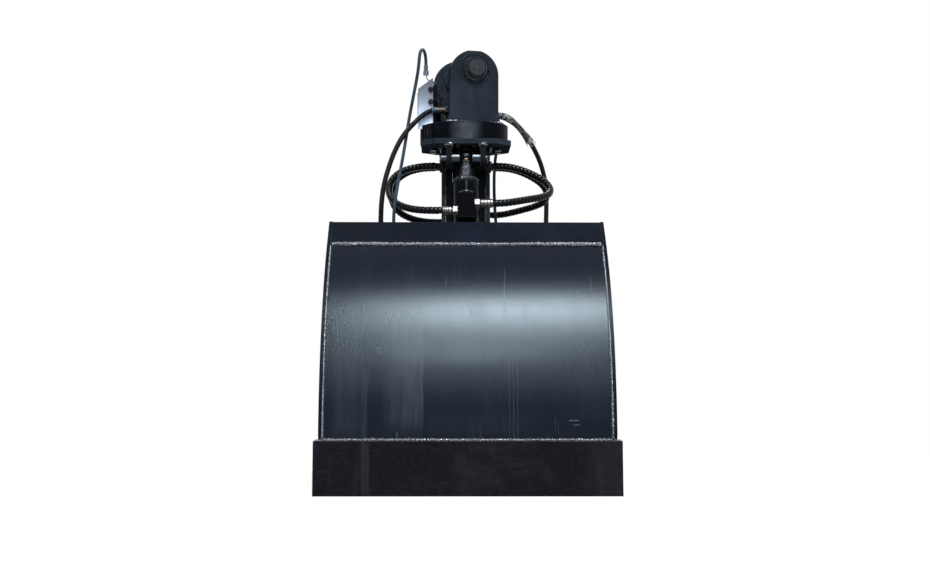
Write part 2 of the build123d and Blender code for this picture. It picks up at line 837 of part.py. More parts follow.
def motor_guard():
    """The upright plate in front of the motor, with its foot and side fold."""
    outline = Polyline(
        (-guard_left, guard_tab_z), (-guard_left, guard_low_top), (-guard_right, guard_high_top),
        (-guard_right, housing_top), (-guard_tab_right, housing_top), (-guard_tab_right, guard_tab_z),
        close=True,
    )
    face = make_face([outline])
    for z in guard_bolt_heights:
        face -= Pos(-guard_right - guard_bolt_inset, z) * Circle(guard_bolt_radius + running_fit)
    front_plate = Pos(0, guard_sheet - guard_front, 0) * extrude(Plane.XZ * face, guard_sheet)
    side_fold = Pos(-guard_left, -guard_front, housing_top + guard_fold_start) * Box(
        guard_sheet, guard_fold_depth, guard_fold_height, align=(Align.MIN, Align.MIN, Align.MIN)
    )
    foot = Pos(-guard_foot_right, -guard_front, housing_top) * Box(
        guard_foot_length, guard_foot_depth, guard_sheet, align=(Align.MAX, Align.MIN, Align.MIN)
    )
    return turned(front_plate + side_fold + foot)


def guard_bracket():
    """The black strip behind the guard that its bolts hold to."""
    height = bracket_top - housing_top
    low_left = (Align.MIN, Align.MIN, Align.MIN)
    body = Pos(-bracket_left, guard_sheet - guard_front, housing_top) * Box(
        bracket_left - bracket_right, bracket_sheet, height, align=low_left
    )
    for z in guard_bolt_heights:
        place = Pos(-guard_right - guard_bolt_inset, 0, z) * Rot(90, 0, 0)
        body -= place * Cylinder(guard_bolt_radius + running_fit, 8 * bracket_sheet)
    return turned(body)


def guard_bolts():
    parts = []
    stack = guard_sheet + bracket_sheet
    grip = stack + guard_nut_height + guard_bolt_end
    head = extrude(RegularPolygon(guard_nut_radius, 6), guard_head_height)
    for z in guard_bolt_heights:
        place = Pos(-guard_right - guard_bolt_inset, -guard_front, z) * Rot(90, 0, 0)
        shank = Pos(0, 0, -grip) * Cylinder(guard_bolt_radius, grip, align=bottom)
        nut = extrude(RegularPolygon(guard_nut_radius, 6), guard_nut_height)
        nut = Pos(0, 0, -stack - guard_nut_height) * nut
        parts.append(turned(place * (head + shank + nut)))
    return parts


def route_radii(points):
    """The largest smooth arc for each corner of a hose's route."""
    radii = []
    for before, point, after in zip(points, points[1:], points[2:]):
        first, last = Vector(*point) - Vector(*before), Vector(*after) - Vector(*point)
        half_turn = radians(first.get_angle(last)) / 2
        radii.append(0.45 * min(first.length, last.length) / tan(half_turn))
    return radii


def hose(name, points, radius):
    """A plain tube along a route of straight runs joined by tangent arcs."""
    radii = route_radii(points)
    path = FilletPolyline(*points, radius=radii)
    section = Plane(path @ 0, z_dir=path % 0) * Circle(radius)
    tube = sweep(section, path=path)
    share = tube.volume / (pi * radius**2 * path.length)
    print(name, "length", round(path.length), "least radius", round(min(radii)), "share", round(share, 4))
    return tube


# Routes run from the fitting out. Left and right are as seen from the front jaw's side.
front_left_loop = [
    (-68, -189.94, 799.97), (-100, -189.94, 799.97), (-138, -181, 802), (-175, -164, 809),
    (-211, -138, 826), (-231, -106, 853), (-234, -76, 884), (-221, -55, 915), (-188, -39, 940),
    (-147, -28, 951), (-112, -22, 954), (-80, -22, 954),
]
front_right_loop = [
    (77, -183.63, 822.09), (110, -183.63, 822.09), (149, -173, 829), (186, -154, 837), (222, -130, 845),
    (250, -102, 856), (259, -70, 876), (247, -48, 900), (220, -36, 920), (186, -28, 937),
    (150, -24, 949), (114, -22, 954), (80, -22, 954),
]
supply_left = [
    (-80.86, -38.23, 1124), (-104.04, -44.44, 1124), (-130, -54, 1108), (-156, -67, 1082),
    (-190, -92, 1040), (-216, -112, 986), (-234, -126, 932), (-247, -132, 881), (-254, -130, 828),
    (-256, -120, 774), (-256, -96, 712), (-252, -68, 650), (-242, -44, 588), (-220, -24, 530),
    (-182, -9, 476), (-136, -2, 438), (-90, 0, 424), (-48, 0, 424),
]
supply_right = [
    (93, 8.36, 1117), (116.18, 14.57, 1117), (148, 32, 1102), (180, 58, 1074), (212, 92, 1036),
    (238, 120, 990), (254, 138, 940), (261, 147, 886), (260, 148, 830), (258, 140, 772),
    (257, 116, 712), (252, 86, 652), (242, 54, 592), (220, 28, 534), (184, 11, 480),
    (138, 3, 440), (90, 0, 424), (48, 0, 424),
]
motor_line = [
    (77.51, 35.26, 1100), (98.77, 40.96, 1100), (116, 62, 1099), (121, 90, 1092), (116, 116, 1074),
    (106, 136, 1046), (97, 145, 1004), (93, 145, 948), (93, 141, 884), (96, 135, 820),
    (101, 127, 756), (107, 117, 692), (112, 105, 628), (117, 88, 568), (118, 66, 514),
    (108, 44, 470), (80, 28, 449), (44, 14, 451), (4, 1, 453), (-36, -12, 450),
    (-76, -24, 448), (-116, -40, 462), (-148, -62, 496), (-174, -88, 546), (-193, -114, 600),
    (-205, -138, 658), (-213, -158, 716), (-216, -170, 772), (-213, -169, 818), (-205, -148, 879),
    (-194, -112, 948), (-183, -74, 1026), (-173, -56, 1098), (-159, -70, 1168), (-145, -90, 1236),
    (-141, -92, 1288), (-135, -73, 1307), (-128, -47, 1307), (-122.7, -28, 1288), (-122.7, -28, 1264),
]


def mirrored_route(points):
    return [(x, -y, z) for x, y, z in points]


def coupler():
    """The quick coupling pair that joins the two supply hoses when the bucket is off its crane."""
    line = Pos(0, 0, coupler_z) * Rot(0, 90, 0)
    body = line * Cylinder(coupler_radius - coupler_waist, 2 * coupler_half)
    sleeve = line * Pos(0, 0, coupler_sleeve_x) * Cylinder(coupler_radius, coupler_sleeve)
    nut = line * Pos(0, 0, coupler_nut_x) * extrude(RegularPolygon(coupler_radius, 6), coupler_nut)
    return body + sleeve + nut


def end_fitting():
    """The loose steel fitting on the motor hose's free end, tied up beside the head."""
    x, y, z = motor_line[-1]
    low = Pos(x, y, z - end_fitting_length)
    stem = low * Cylinder(end_fitting_radius - end_fitting_step, end_fitting_length, align=bottom)
    ferrule = Pos(x, y, z - end_fitting_shell) * Cylinder(end_fitting_radius, end_fitting_shell, align=bottom)
    nut = low * extrude(RegularPolygon(end_fitting_radius + end_fitting_step, 6), end_fitting_nut)
    return stem + ferrule + nut


print("closing turn", round(closing_turn(), 3), "pin to pin", round(pin_to_pin, 2))
for side in (front, rear):
    name = names[side]
    save(f"{name}_side_plates", side_plates(side))
    save(f"{name}_shell", shell(side))
    save(f"{name}_lip_band", band(side))
    save(f"{name}_knife", knife(side))
    save(f"{name}_beam", beam(side))
    save(f"{name}_arms", arms(side))
    save(f"{name}_rod_lugs", lugs(side))
    save(f"{name}_lug_pin", lug_pin(side))
    save(f"{name}_barrel", barrel(side))
    save(f"{name}_gland", gland(side))
    save(f"{name}_port_block", port_block(side))
    save(f"{name}_port_fittings", *port_fittings(side))
    save(f"{name}_rod", rod(side))
    save(f"{name}_piston", piston(side))

save("flange_plate", flange_plate())
save("flange_bolts", *flange_bolts())
save("slew_ring", slew_ring())
save("swivel_manifold", swivel_manifold())
save("swivel_adapters", *swivel_adapters())
save("column_plates", column_plates())
save("column_web", column_web())
save("clevis_plates", *clevis_plates())
save("cylinder_pins", *cylinder_pins())
save("pin_spacers", *pin_spacers())
save("jaw_pins", *jaw_pins())

save("slew_housing", slew_housing())
save("front_ear", ear(-1))
save("rear_ear", ear(1))
save("pin_collars", *pin_collars())
save("keeper_bolt", keeper_bolt())
save("suspension_pin", suspension_pin())
save("top_manifold", top_manifold())
save("supply_adapters", *supply_adapters())
save("slew_motor", slew_motor())
save("motor_guard", motor_guard())
save("guard_bracket", guard_bracket())
save("guard_bolts", *guard_bolts())

loops = {
    "front_left_hose": front_left_loop,
    "front_right_hose": front_right_loop,
    "rear_left_hose": mirrored_route(front_left_loop),
    "rear_right_hose": mirrored_route(front_right_loop),
}
for name, points in loops.items():
    save(name, hose(name, points, loop_hose_radius))
save("left_supply_hose", hose("left_supply_hose", supply_left, supply_hose_radius))
save("right_supply_hose", hose("right_supply_hose", supply_right, supply_hose_radius))
save("motor_hose", hose("motor_hose", motor_line, motor_hose_radius))
save("hose_coupler", coupler())
save("hose_end_fitting", end_fitting())
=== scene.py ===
import json
from math import cos, degrees, pi, radians, sin, tan, tau
from random import Random

import bpy
from bpy.props import FloatProperty, FloatVectorProperty, IntProperty, PointerProperty
from mathutils import Matrix, Vector


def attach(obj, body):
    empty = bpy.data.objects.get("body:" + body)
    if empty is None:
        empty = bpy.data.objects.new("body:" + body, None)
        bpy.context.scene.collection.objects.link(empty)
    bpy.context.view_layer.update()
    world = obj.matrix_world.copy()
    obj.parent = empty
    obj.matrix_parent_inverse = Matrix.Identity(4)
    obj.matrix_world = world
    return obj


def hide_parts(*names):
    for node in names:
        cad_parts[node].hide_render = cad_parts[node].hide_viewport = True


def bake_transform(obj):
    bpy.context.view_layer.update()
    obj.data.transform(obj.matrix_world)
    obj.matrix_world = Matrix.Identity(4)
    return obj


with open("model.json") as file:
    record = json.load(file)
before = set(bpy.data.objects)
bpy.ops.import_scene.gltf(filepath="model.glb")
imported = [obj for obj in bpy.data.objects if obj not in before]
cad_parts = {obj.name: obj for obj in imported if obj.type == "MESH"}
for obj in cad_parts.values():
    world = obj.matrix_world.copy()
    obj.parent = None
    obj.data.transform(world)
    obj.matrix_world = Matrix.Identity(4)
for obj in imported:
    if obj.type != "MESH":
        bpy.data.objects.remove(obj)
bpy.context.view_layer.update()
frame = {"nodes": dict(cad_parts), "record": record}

bl_info = {
    "name": "Clamshell Bucket Dressing",
    "version": (1, 0, 0),
    "blender": (4, 5, 0),
    "location": "3D View > Sidebar > Bucket",
    "description": "Paint, hoses, welds and fittings for the packed clamshell bucket, and its studio",
    "category": "Object",
}

# Metres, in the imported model's frame: +X is the width, -Y the front jaw's side, +Z up.
# Jaw outline in the side view, as distance out and height
JAW_TOP = Vector((0.243, 0.762))
BAND_SLOPE = 43.5
BAND_HEIGHT = 0.096
SHELL_RADIUS = 0.834
KNIFE_SLOPE = 85.5
RIM = 0.004
SHELL_HALF = 0.390
KNIFE_HEIGHT = 0.145
BAND_LOW = 0.100

BEAM_KNEE = Vector((0.272, 0.640))
BEAM_LENGTH = 0.285
BEAM_SHEET = 0.008
BEAM_START = 0.008
BAND_BACK = 0.016
SKIN = 0.012

# Cylinders: the upper pin, and the way down to the lug pin
TOP_OUT, TOP_Z = 0.090, 0.968
LUG_OUT, LUG_Z = 0.195, 0.600
LUG_PIN_END = 0.0506
BARREL_END = 0.318
CLEVIS_X, COLUMN_X = 0.051, 0.068
COLUMN_INSIDE, COLUMN_WEB_HALF = 0.062, 0.006
FLANGE_LOW = 1.0085

# Slewing head: its turn, and the places of its ears and suspension pin
HEAD_YAW = radians(15)
EAR_OUT, PIN_HEIGHT, HOUSING_TOP = 0.091, 1.240, 1.078
SIDES = {"front": -1, "rear": 1}

# Hose routes, each from the fitting out, the same as the imported hoses' routes
LEFT_LOOP = [
    (-0.068, -0.18994, 0.79997), (-0.100, -0.18994, 0.79997), (-0.138, -0.181, 0.802),
    (-0.175, -0.164, 0.809), (-0.211, -0.138, 0.826), (-0.231, -0.106, 0.853), (-0.234, -0.076, 0.884),
    (-0.221, -0.055, 0.915), (-0.188, -0.039, 0.940), (-0.147, -0.028, 0.951), (-0.112, -0.022, 0.954),
    (-0.080, -0.022, 0.954),
]
RIGHT_LOOP = [
    (0.077, -0.18363, 0.82209), (0.110, -0.18363, 0.82209), (0.149, -0.173, 0.829),
    (0.186, -0.154, 0.837), (0.222, -0.130, 0.845), (0.250, -0.102, 0.856), (0.259, -0.070, 0.876),
    (0.247, -0.048, 0.900), (0.220, -0.036, 0.920), (0.186, -0.028, 0.937), (0.150, -0.024, 0.949),
    (0.114, -0.022, 0.954), (0.080, -0.022, 0.954),
]
LEFT_SUPPLY = [
    (-0.08086, -0.03823, 1.124), (-0.10404, -0.04444, 1.124), (-0.130, -0.054, 1.108),
    (-0.156, -0.067, 1.082), (-0.190, -0.092, 1.040), (-0.216, -0.112, 0.986), (-0.234, -0.126, 0.932),
    (-0.247, -0.132, 0.881), (-0.254, -0.130, 0.828), (-0.256, -0.120, 0.774), (-0.256, -0.096, 0.712),
    (-0.252, -0.068, 0.650), (-0.242, -0.044, 0.588), (-0.220, -0.024, 0.530), (-0.182, -0.009, 0.476),
    (-0.136, -0.002, 0.438), (-0.090, 0.0, 0.424), (-0.048, 0.0, 0.424),
]
RIGHT_SUPPLY = [
    (0.093, 0.00836, 1.117), (0.11618, 0.01457, 1.117), (0.148, 0.032, 1.102), (0.180, 0.058, 1.074),
    (0.212, 0.092, 1.036), (0.238, 0.120, 0.990), (0.254, 0.138, 0.940), (0.261, 0.147, 0.886),
    (0.260, 0.148, 0.830), (0.258, 0.140, 0.772), (0.257, 0.116, 0.712), (0.252, 0.086, 0.652),
    (0.242, 0.054, 0.592), (0.220, 0.028, 0.534), (0.184, 0.011, 0.480), (0.138, 0.003, 0.440),
    (0.090, 0.0, 0.424), (0.048, 0.0, 0.424),
]
MOTOR_LINE = [
    (0.07751, 0.03526, 1.100), (0.09877, 0.04096, 1.100), (0.116, 0.062, 1.099), (0.121, 0.090, 1.092),
    (0.116, 0.116, 1.074), (0.106, 0.136, 1.046), (0.097, 0.145, 1.004), (0.093, 0.145, 0.948),
    (0.093, 0.141, 0.884), (0.096, 0.135, 0.820), (0.101, 0.127, 0.756), (0.107, 0.117, 0.692),
    (0.112, 0.105, 0.628), (0.117, 0.088, 0.568), (0.118, 0.066, 0.514), (0.108, 0.044, 0.470),
    (0.080, 0.028, 0.449), (0.044, 0.014, 0.451), (0.004, 0.001, 0.453), (-0.036, -0.012, 0.450),
    (-0.076, -0.024, 0.448), (-0.116, -0.040, 0.462), (-0.148, -0.062, 0.496), (-0.174, -0.088, 0.546),
    (-0.193, -0.114, 0.600), (-0.205, -0.138, 0.658), (-0.213, -0.158, 0.716), (-0.216, -0.170, 0.772),
    (-0.213, -0.169, 0.818), (-0.205, -0.148, 0.879), (-0.194, -0.112, 0.948), (-0.183, -0.074, 1.026),
    (-0.173, -0.056, 1.098), (-0.159, -0.070, 1.168), (-0.145, -0.090, 1.236), (-0.141, -0.092, 1.288),
    (-0.135, -0.073, 1.307), (-0.128, -0.047, 1.307), (-0.1227, -0.028, 1.288),
    (-0.1227, -0.028, 1.264),
]
LOOP_HOSE = 0.0092
LOOP_WRAP = 0.0110
SUPPLY_HOSE = 0.0080
MOTOR_HOSE = 0.0050
WIRE = 0.0013
# Points between two of a route's points, steps along the covers, and the sleeve's first and last step
SPLINE_STEPS = 14
LOOP_STEP, MOTOR_STEP, BRAID_STEP = 0.004, 0.0035, 0.002
BRAID_START, BRAID_END = 2, 88

# Studio: the photograph's camera, where the lamps point, and the white round the bucket
CAMERA_PLACE = (-0.0529, -4.384, 0.3815)
CAMERA_TURN = (radians(92.742), radians(-0.046), radians(-0.675))
LAMP_AIM = Vector((0, -0.3, 0.55))
UNMIRRORED = ("Left", "Right")
WHITE = (1, 1, 1, 1)
ROOM_TINT = (0.93, 0.97, 1.0, 1)
FLOOR_GREY = (0.86, 0.86, 0.86, 1)
FLOOR_HALF = 40.0
FLOOR_LEVEL = -0.0003
# Near and far distance, and the share of white that the camera sees there
FLOOR_GLOW = (0.7, 2.6, 0.74, 1.0)

finishes = {}


# Small turned pieces, as profiles of (radius, height)
NIPPLE = [
    (0.0036, 0.0036), (0.0036, 0.0060), (0.0023, 0.0072), (0.0023, 0.0088), (0.0033, 0.0100),
    (0.0033, 0.0112), (0.0022, 0.0124), (0.0011, 0.0126),
]
EYE_SEAT = [(0.0088, 0), (0.0088, 0.0020), (0.0078, 0.0028), (0.0060, 0.0020), (0.0002, 0.0018)]
EYE_BALL = [
    (0.0050, 0.0010), (0.0050, 0.0034), (0.0030, 0.0040), (0.0022, 0.0052), (0.0022, 0.0064),
    (0.0028, 0.0074), (0.0020, 0.0086), (0.0008, 0.0088),
]
PLUG_FACE = [(0.0160, -0.0016), (0.0150, -0.0022), (0.0090, -0.0022), (0.0080, -0.0010), (0.0003, -0.0008)]
PLUG_RIM = [(0.0200, 0.0028), (0.0211, 0.0034), (0.0211, 0.0076), (0.0200, 0.0082)]
WIPER = [
    (0.0178, -0.002), (0.0205, 0.0), (0.0235, 0.0), (0.0235, 0.0022), (0.0200, 0.0046),
    (0.0178, 0.0046),
]
GLAND_STUD = [(0.0016, 0.0), (0.0032, 0.0009), (0.0036, 0.0012), (0.0036, 0.0002), (0.0001, 0.0)]
BOSS = [
    (0.0225, 0), (0.0225, 0.0165), (0.0210, 0.0180), (0.0110, 0.0180), (0.0100, 0.0160),
    (0.0003, 0.0158),
]
# Brass ring on each face of the swivel, behind a cylinder's eye, for the golden arc seen there.
GOLDEN_ARC_RING = [(0.0222, 0.0100), (0.0240, 0.0106), (0.0244, 0.0130), (0.0240, 0.0154), (0.0222, 0.0160)]
PIN_BOLT = [
    (0.0052, 0), (0.0052, 0.0016), (0.0046, 0.0024), (0.0026, 0.0028), (0.0024, 0.0018),
    (0.0004, 0.0016),
]
CENTRE_MARK = [(0.0034, 0), (0.0034, 0.0004), (0.0026, 0.0005), (0.0002, 0.0003)]
HOSE_BAND = [(0.0080, 0.0220), (0.0100, 0.0222), (0.0100, 0.0246), (0.0080, 0.0248)]
PORT_RING = [(0.0126, 0), (0.0136, 0.0006), (0.0136, 0.0030), (0.0126, 0.0036)]
PORT_WAIST = [(0.0096, 0.0146), (0.0116, 0.0150), (0.0116, 0.0190), (0.0096, 0.0196)]
PORT_MOUTH = [(0.0100, 0), (0.0128, 0.0004), (0.0120, 0.0030), (0.0100, 0.0034)]
PORT_CAP = [(0.0100, 0.0004), (0.0152, 0.0004), (0.0152, 0.0024), (0.0100, 0.0024)]
FERRULE_START = [(0.0070, 0.0005), (0.0100, 0.0005)]
FERRULE_GROOVE = [(0.0100, 0), (0.0092, 0.0008), (0.0092, 0.0020), (0.0100, 0.0028)]
FERRULE_END = [(0.0100, 0), (0.0086, 0.0015), (0.0070, 0.0015)]

# Sizes that go with these profiles
FERRULE_LENGTH = 0.020
NIPPLE_SCALE = 0.9
HEXAGON_EASE = 0.0005
PLUG_HEIGHT = 0.0050

# The barrel: its eye, the port block and the gland
EYE_LEAN, EYE_RADIUS = radians(22), 0.0272
PORT_FOOT, PORT_OUT = 0.025, 0.050
PLUG_OUT, PLUG_ALONG = 0.0525, 0.129
GLAND_LENGTH, STUD_CIRCLE = 0.008, 0.031

# Port fittings: place down the barrel, end across it, and side
PORTS = [(0.189, 0.068, -1), (0.166, 0.077, 1)]

# The oil swivel and the cylinder pins' ends
SWIVEL_FACE, SWIVEL_Z, SWIVEL_LOW = 0.0415, 0.9792, 0.9052
SWIVEL_PLUGS = [(-0.030, 0, 0.0085), (0.030, 0, 0.0085), (0, -0.020, 0.0100), (0, 0.020, 0.0100)]
PIN_ENDS = [(0.0660, 1), (-0.0780, -1)]
PIN_BOLT_RISE = 0.0062

# The slewing head: plugs as place across, height and radius, and the suspension pin's two faces
TOP_PLUGS = [(-0.030, 1.106, 0.010), (0.030, 1.106, 0.010), (0.0, 1.122, 0.008)]
TOP_BLOCK_FACE = 0.0298
HOUSING_NIPPLE = (0, 0.1308, 1.058)
PIN_FACES = [(-0.128, -1), (0.116, 1)]

# The tie wire, from under the motor hose's loose end
WIRE_BENDS = [
    (0, 0, 0.006), (0.001, -0.002, -0.006), (0.005, -0.004, -0.014), (0.012, -0.003, -0.018),
    (0.020, 0.002, -0.022), (0.028, 0.008, -0.031), (0.036, 0.012, -0.036),
]
CLIP_PLACE = (0.018, 0.000, -0.0205)


# Settings

def colour(name, description, default):
    return FloatVectorProperty(
        name=name, description=description, subtype="COLOR", size=4, min=0, max=1, default=(*default, 1)
    )


def size(name, description, default):
    return FloatProperty(
        name=name, description=description, default=default, min=0.0001, max=1.0,
        unit="LENGTH", subtype="DISTANCE",
    )


def power(name, description, default):
    return FloatProperty(name=name, description=description, default=default, unit="POWER")


class BucketPaint(bpy.types.PropertyGroup):
    """Colours of the bucket's paints, metals and rubber."""

    # These near-black paint, rubber and wrap colours are the real blacks with a blue tint added, which is
    # painted reflection of a blue sky.
    black: colour("Black enamel", "Satin black of the frame and clevises", (0.0028, 0.0033, 0.0046))
    jaw: colour("Jaw enamel", "Blue-black of the jaws' bands, sides and arms", (0.0014, 0.0030, 0.0066))
    shell: colour("Shell enamel", "Glossy blue-black of the jaw shells", (0.0004, 0.0016, 0.0060))
    knife: colour("Knife paint", "Dull black of the cutting edge plates", (0.0036, 0.0040, 0.0063))
    guard: colour("Guard paint", "Light grey of the motor guard", (0.155, 0.190, 0.248))
    dust: colour("Dust", "Pale dirt that lies on the paint", (0.16, 0.155, 0.145))
    rubber: colour("Hose rubber", "Covers of the hydraulic hoses", (0.0024, 0.0027, 0.0034))
    wrap: colour("Spiral wrap", "Plastic guard wound on the loop hoses", (0.0012, 0.0015, 0.0022))
    zinc: colour("Zinc plating", "Hose fittings and adapters", (0.150, 0.150, 0.146))
    steel: colour("Bright steel", "Ground pins and machined faces", (0.50, 0.50, 0.50))
    chrome: colour("Chrome", "Hard chrome of the piston rods", (0.66, 0.67, 0.69))
    bolt: colour("Bolt steel", "Black oxide of the bolts", (0.018, 0.018, 0.021))
    sleeve: colour("Textile sleeve", "Pale yarn of the sleeve on the right supply hose", (0.30, 0.31, 0.32))
    # Brass colours the rings for the golden arc seen above the cylinders' eyes.
    brass: colour("Brass", "Wear ring above the cylinder's eye", (0.62, 0.37, 0.14))


class BucketHoses(bpy.types.PropertyGroup):
    """Sizes of what is wound or pressed on the hoses."""

    wrap_pitch: size("Wrap pitch", "Length of one turn of the spiral wrap", 0.0125)
    wrap_width: size("Wrap width", "Width of the spiral wrap's strip", 0.0116)
    rib_pitch: size("Rib pitch", "Distance between the ribs of the supply hoses", 0.0058)
    strands: IntProperty(name="Sleeve strands", description="Strands each way round it", default=12, min=4)


class BucketWelds(bpy.types.PropertyGroup):
    """Sizes of the weld beads."""

    wide: size("Wide bead", "Radius of the beads on the jaws' long seams", 0.0066)
    narrow: size("Narrow bead", "Radius of the beads in the corners", 0.0042)
    ripple: size("Ripple pitch", "Distance between the ripples of a bead", 0.0042)


class BucketStudio(bpy.types.PropertyGroup):
    """Camera and lamps."""

    lens: FloatProperty(name="Lens", description="Focal length", default=55.11, unit="CAMERA", min=10)
    key: power("Key lamp", "Power of the lamp above the camera", 330)
    low: power("Low lamps", "Power of the lamps below it", 165)
    fill: power("Fill lamps", "Power of the side and back lamps", 48)
    ambient: FloatProperty(name="Room light", description="Even light from all round", default=0.16, min=0)


# Shapes

def jaw_heading(slope):
    return Vector((cos(radians(slope)), -sin(radians(slope))))


def jaw_inward(slope):
    return Vector((-sin(radians(slope)), -cos(radians(slope))))


BAND_END = JAW_TOP + jaw_heading(BAND_SLOPE) * BAND_HEIGHT
ARC_CENTRE = BAND_END + jaw_inward(BAND_SLOPE) * SHELL_RADIUS


def shell_point(slope, depth):
    """A point of the jaw's curved skin where its slope is so many degrees."""
    return ARC_CENTRE - jaw_inward(slope) * (SHELL_RADIUS - depth)


def beam_line(depth):
    """The folded stiffener's three bends, on its outer face or a depth inside it."""
    start = JAW_TOP + jaw_inward(BAND_SLOPE) * BAND_BACK + jaw_heading(BAND_SLOPE) * BEAM_START
    slope = BAND_SLOPE + degrees((BEAM_LENGTH - BAND_HEIGHT) / SHELL_RADIUS)
    bends = [start, BEAM_KNEE, shell_point(slope, SKIN)]
    moved = []
    for i, point in enumerate(bends):
        first = (bends[max(i, 1)] - bends[max(i, 1) - 1]).normalized()
        last = (bends[min(i, 1) + 1] - bends[min(i, 1)]).normalized()
        normal = Vector((first.y, -first.x)) + Vector((last.y, -last.x))
        moved.append(point + normal * (depth / (1 + first.dot(last))))
    return moved


def on_jaw(side, x, flat):
    """A point of the side view set at a place across the width."""
    return Vector((x, side * flat.x, flat.y))


def cylinder_place(side):
    """The upper pin's frame: local Z leads down the cylinder and X across it."""
    down = Vector((0, side * (LUG_OUT - TOP_OUT), LUG_Z - TOP_Z)).normalized()
    across = Vector((1, 0, 0))
    turn = Matrix((across, down.cross(across), down)).transposed().to_4x4()
    return Matrix.Translation((0, side * TOP_OUT, TOP_Z)) @ turn


def facing(place, direction):
    """A frame at a point whose Z leads along a direction."""
    return Matrix.Translation(place) @ Vector(direction).to_track_quat("Z", "Y").to_matrix().to_4x4()


def head_turn():
    return Matrix.Rotation(HEAD_YAW, 4, "Z")


def spline_line(route):
    """Points along the smooth line of a route, read from its NURBS spline."""
    curve = bpy.data.curves.new("route", "CURVE")
    curve.dimensions = "3D"
    curve.resolution_u = SPLINE_STEPS
    spline = curve.splines.new("NURBS")
    spline.points.add(len(route) - 1)
    for point, place in zip(spline.points, route):
        point.co = (*place, 1)
    spline.order_u = 3
    spline.use_endpoint_u = True
    holder = bpy.data.objects.new("route", curve)
    bpy.context.scene.collection.objects.link(holder)
    bpy.context.view_layer.update()
    mesh = bpy.data.meshes.new_from_object(holder)
    line = [v.co.copy() for v in mesh.vertices]
    bpy.data.meshes.remove(mesh)
    bpy.data.objects.remove(holder)
    bpy.data.curves.remove(curve)
    return line


def line_length(line):
    return sum((b - a).length for a, b in zip(line, line[1:]))


def evenly(line, step):
    """The same line with its points a step apart."""
    count = max(2, round(line_length(line) / step))
    gap = line_length(line) / count
    spread, travelled, wanted = [line[0].copy()], 0.0, gap
    for a, b in zip(line, line[1:]):
        run = (b - a).length
        while run and travelled + run >= wanted and len(spread) < count:
            spread.append(a.lerp(b, (wanted - travelled) / run))
            wanted += gap
        travelled += run
    return spread + [line[-1].copy()]


def guides(line):
    """Each point of a line with its direction and two steady side vectors."""
    side, made = None, []
    for i, point in enumerate(line):
        along = (line[min(i + 1, len(line) - 1)] - line[max(i - 1, 0)]).normalized()
        side = along.orthogonal() if side is None else side
        side = (side - along * side.dot(along)).normalized()
        made.append((point, along, side, along.cross(side)))
    return made


class Shape:
    """Vertices and faces of one piece, gathered from simple forms."""

    def __init__(self):
        self.points, self.faces, self.maps = [], [], []

    def loft(self, rings, lengths=None):
        """Join closed rings and cap both ends; lengths are what the second map axis takes."""
        first, count = len(self.points), len(rings[0])
        for ring in rings:
            self.points += ring
        lengths = lengths or [float(i) for i in range(len(rings))]
        for r in range(len(rings) - 1):
            low, high = lengths[r], lengths[r + 1]
            for k in range(count):
                a, b = first + r * count + k, first + r * count + (k + 1) % count
                self.faces.append((a, b, b + count, a + count))
                u, v = k / count, (k + 1) / count
                self.maps.append(((u, low), (v, low), (v, high), (u, high)))
        for start, order in ((first, -1), (first + (len(rings) - 1) * count, 1)):
            self.faces.append(tuple(range(start, start + count))[::order])
            self.maps.append(((0, 0),) * count)
        return self

    def tube(self, line, radius, sides):
        """A round tube; radius is a number or a function of the distance along it."""
        rings, lengths, travelled = [], [], 0.0
        made = guides(line)
        for i, (point, _, side, up) in enumerate(made):
            travelled += (point - made[i - 1][0]).length if i else 0
            r = radius(travelled) if callable(radius) else radius
            turns = [tau * k / sides for k in range(sides)]
            rings.append([point + side * (r * cos(t)) + up * (r * sin(t)) for t in turns])
            lengths.append(travelled)
        return self.loft(rings, lengths)

    def turned(self, place, profile, sides):
        """A profile of (radius, height) turned about a frame's Z."""
        turns = [tau * k / sides for k in range(sides)]
        rings = [[place @ Vector((r * cos(t), r * sin(t), h)) for t in turns] for r, h in profile]
        return self.loft(rings)

    def hexagon(self, place, radius, height, ease):
        """A hexagon head with its corners turned down."""
        corners = [(radius * cos(tau * k / 6), radius * sin(tau * k / 6)) for k in range(6)]
        share = 1 - ease / radius
        levels = [(0, share), (ease, 1), (height - ease, 1), (height, share)]
        return self.loft([[place @ Vector((x * s, y * s, h)) for x, y in corners] for h, s in levels])

    def transformed(self, matrix):
        self.points = [matrix @ Vector(p) for p in self.points]
        return self

    def piece(self, name, finish, slot=None, sharp=radians(32)):
        mesh = bpy.data.meshes.new(name)
        mesh.from_pydata([tuple(p) for p in self.points], [], self.faces)
        layer = mesh.uv_layers.new(name="map")
        spots = [spot for face in self.maps for spot in face]
        layer.data.foreach_set("uv", [x for spot in spots for x in spot])
        mesh.validate()
        mesh.shade_smooth()
        mesh.set_sharp_from_angle(angle=sharp)
        made = bpy.data.objects.new(name, mesh)
        bpy.context.scene.collection.objects.link(made)
        made.data.materials.append(finishes[finish])
        return made


# Finishes

def feed(tree, socket, value):
    """Give a socket its value, or link another node's output to it."""
    if isinstance(value, bpy.types.NodeSocket):
        tree.links.new(value, socket)
    else:
        socket.default_value = value


def add_node(tree, kind, links=None, **settings):
    """A new node; links give its inputs a value each, or another node's output."""
    node = tree.nodes.new(kind)
    for key, value in settings.items():
        setattr(node, key, value)
    for key, value in (links or {}).items():
        feed(tree, node.inputs[key], value)
    return node


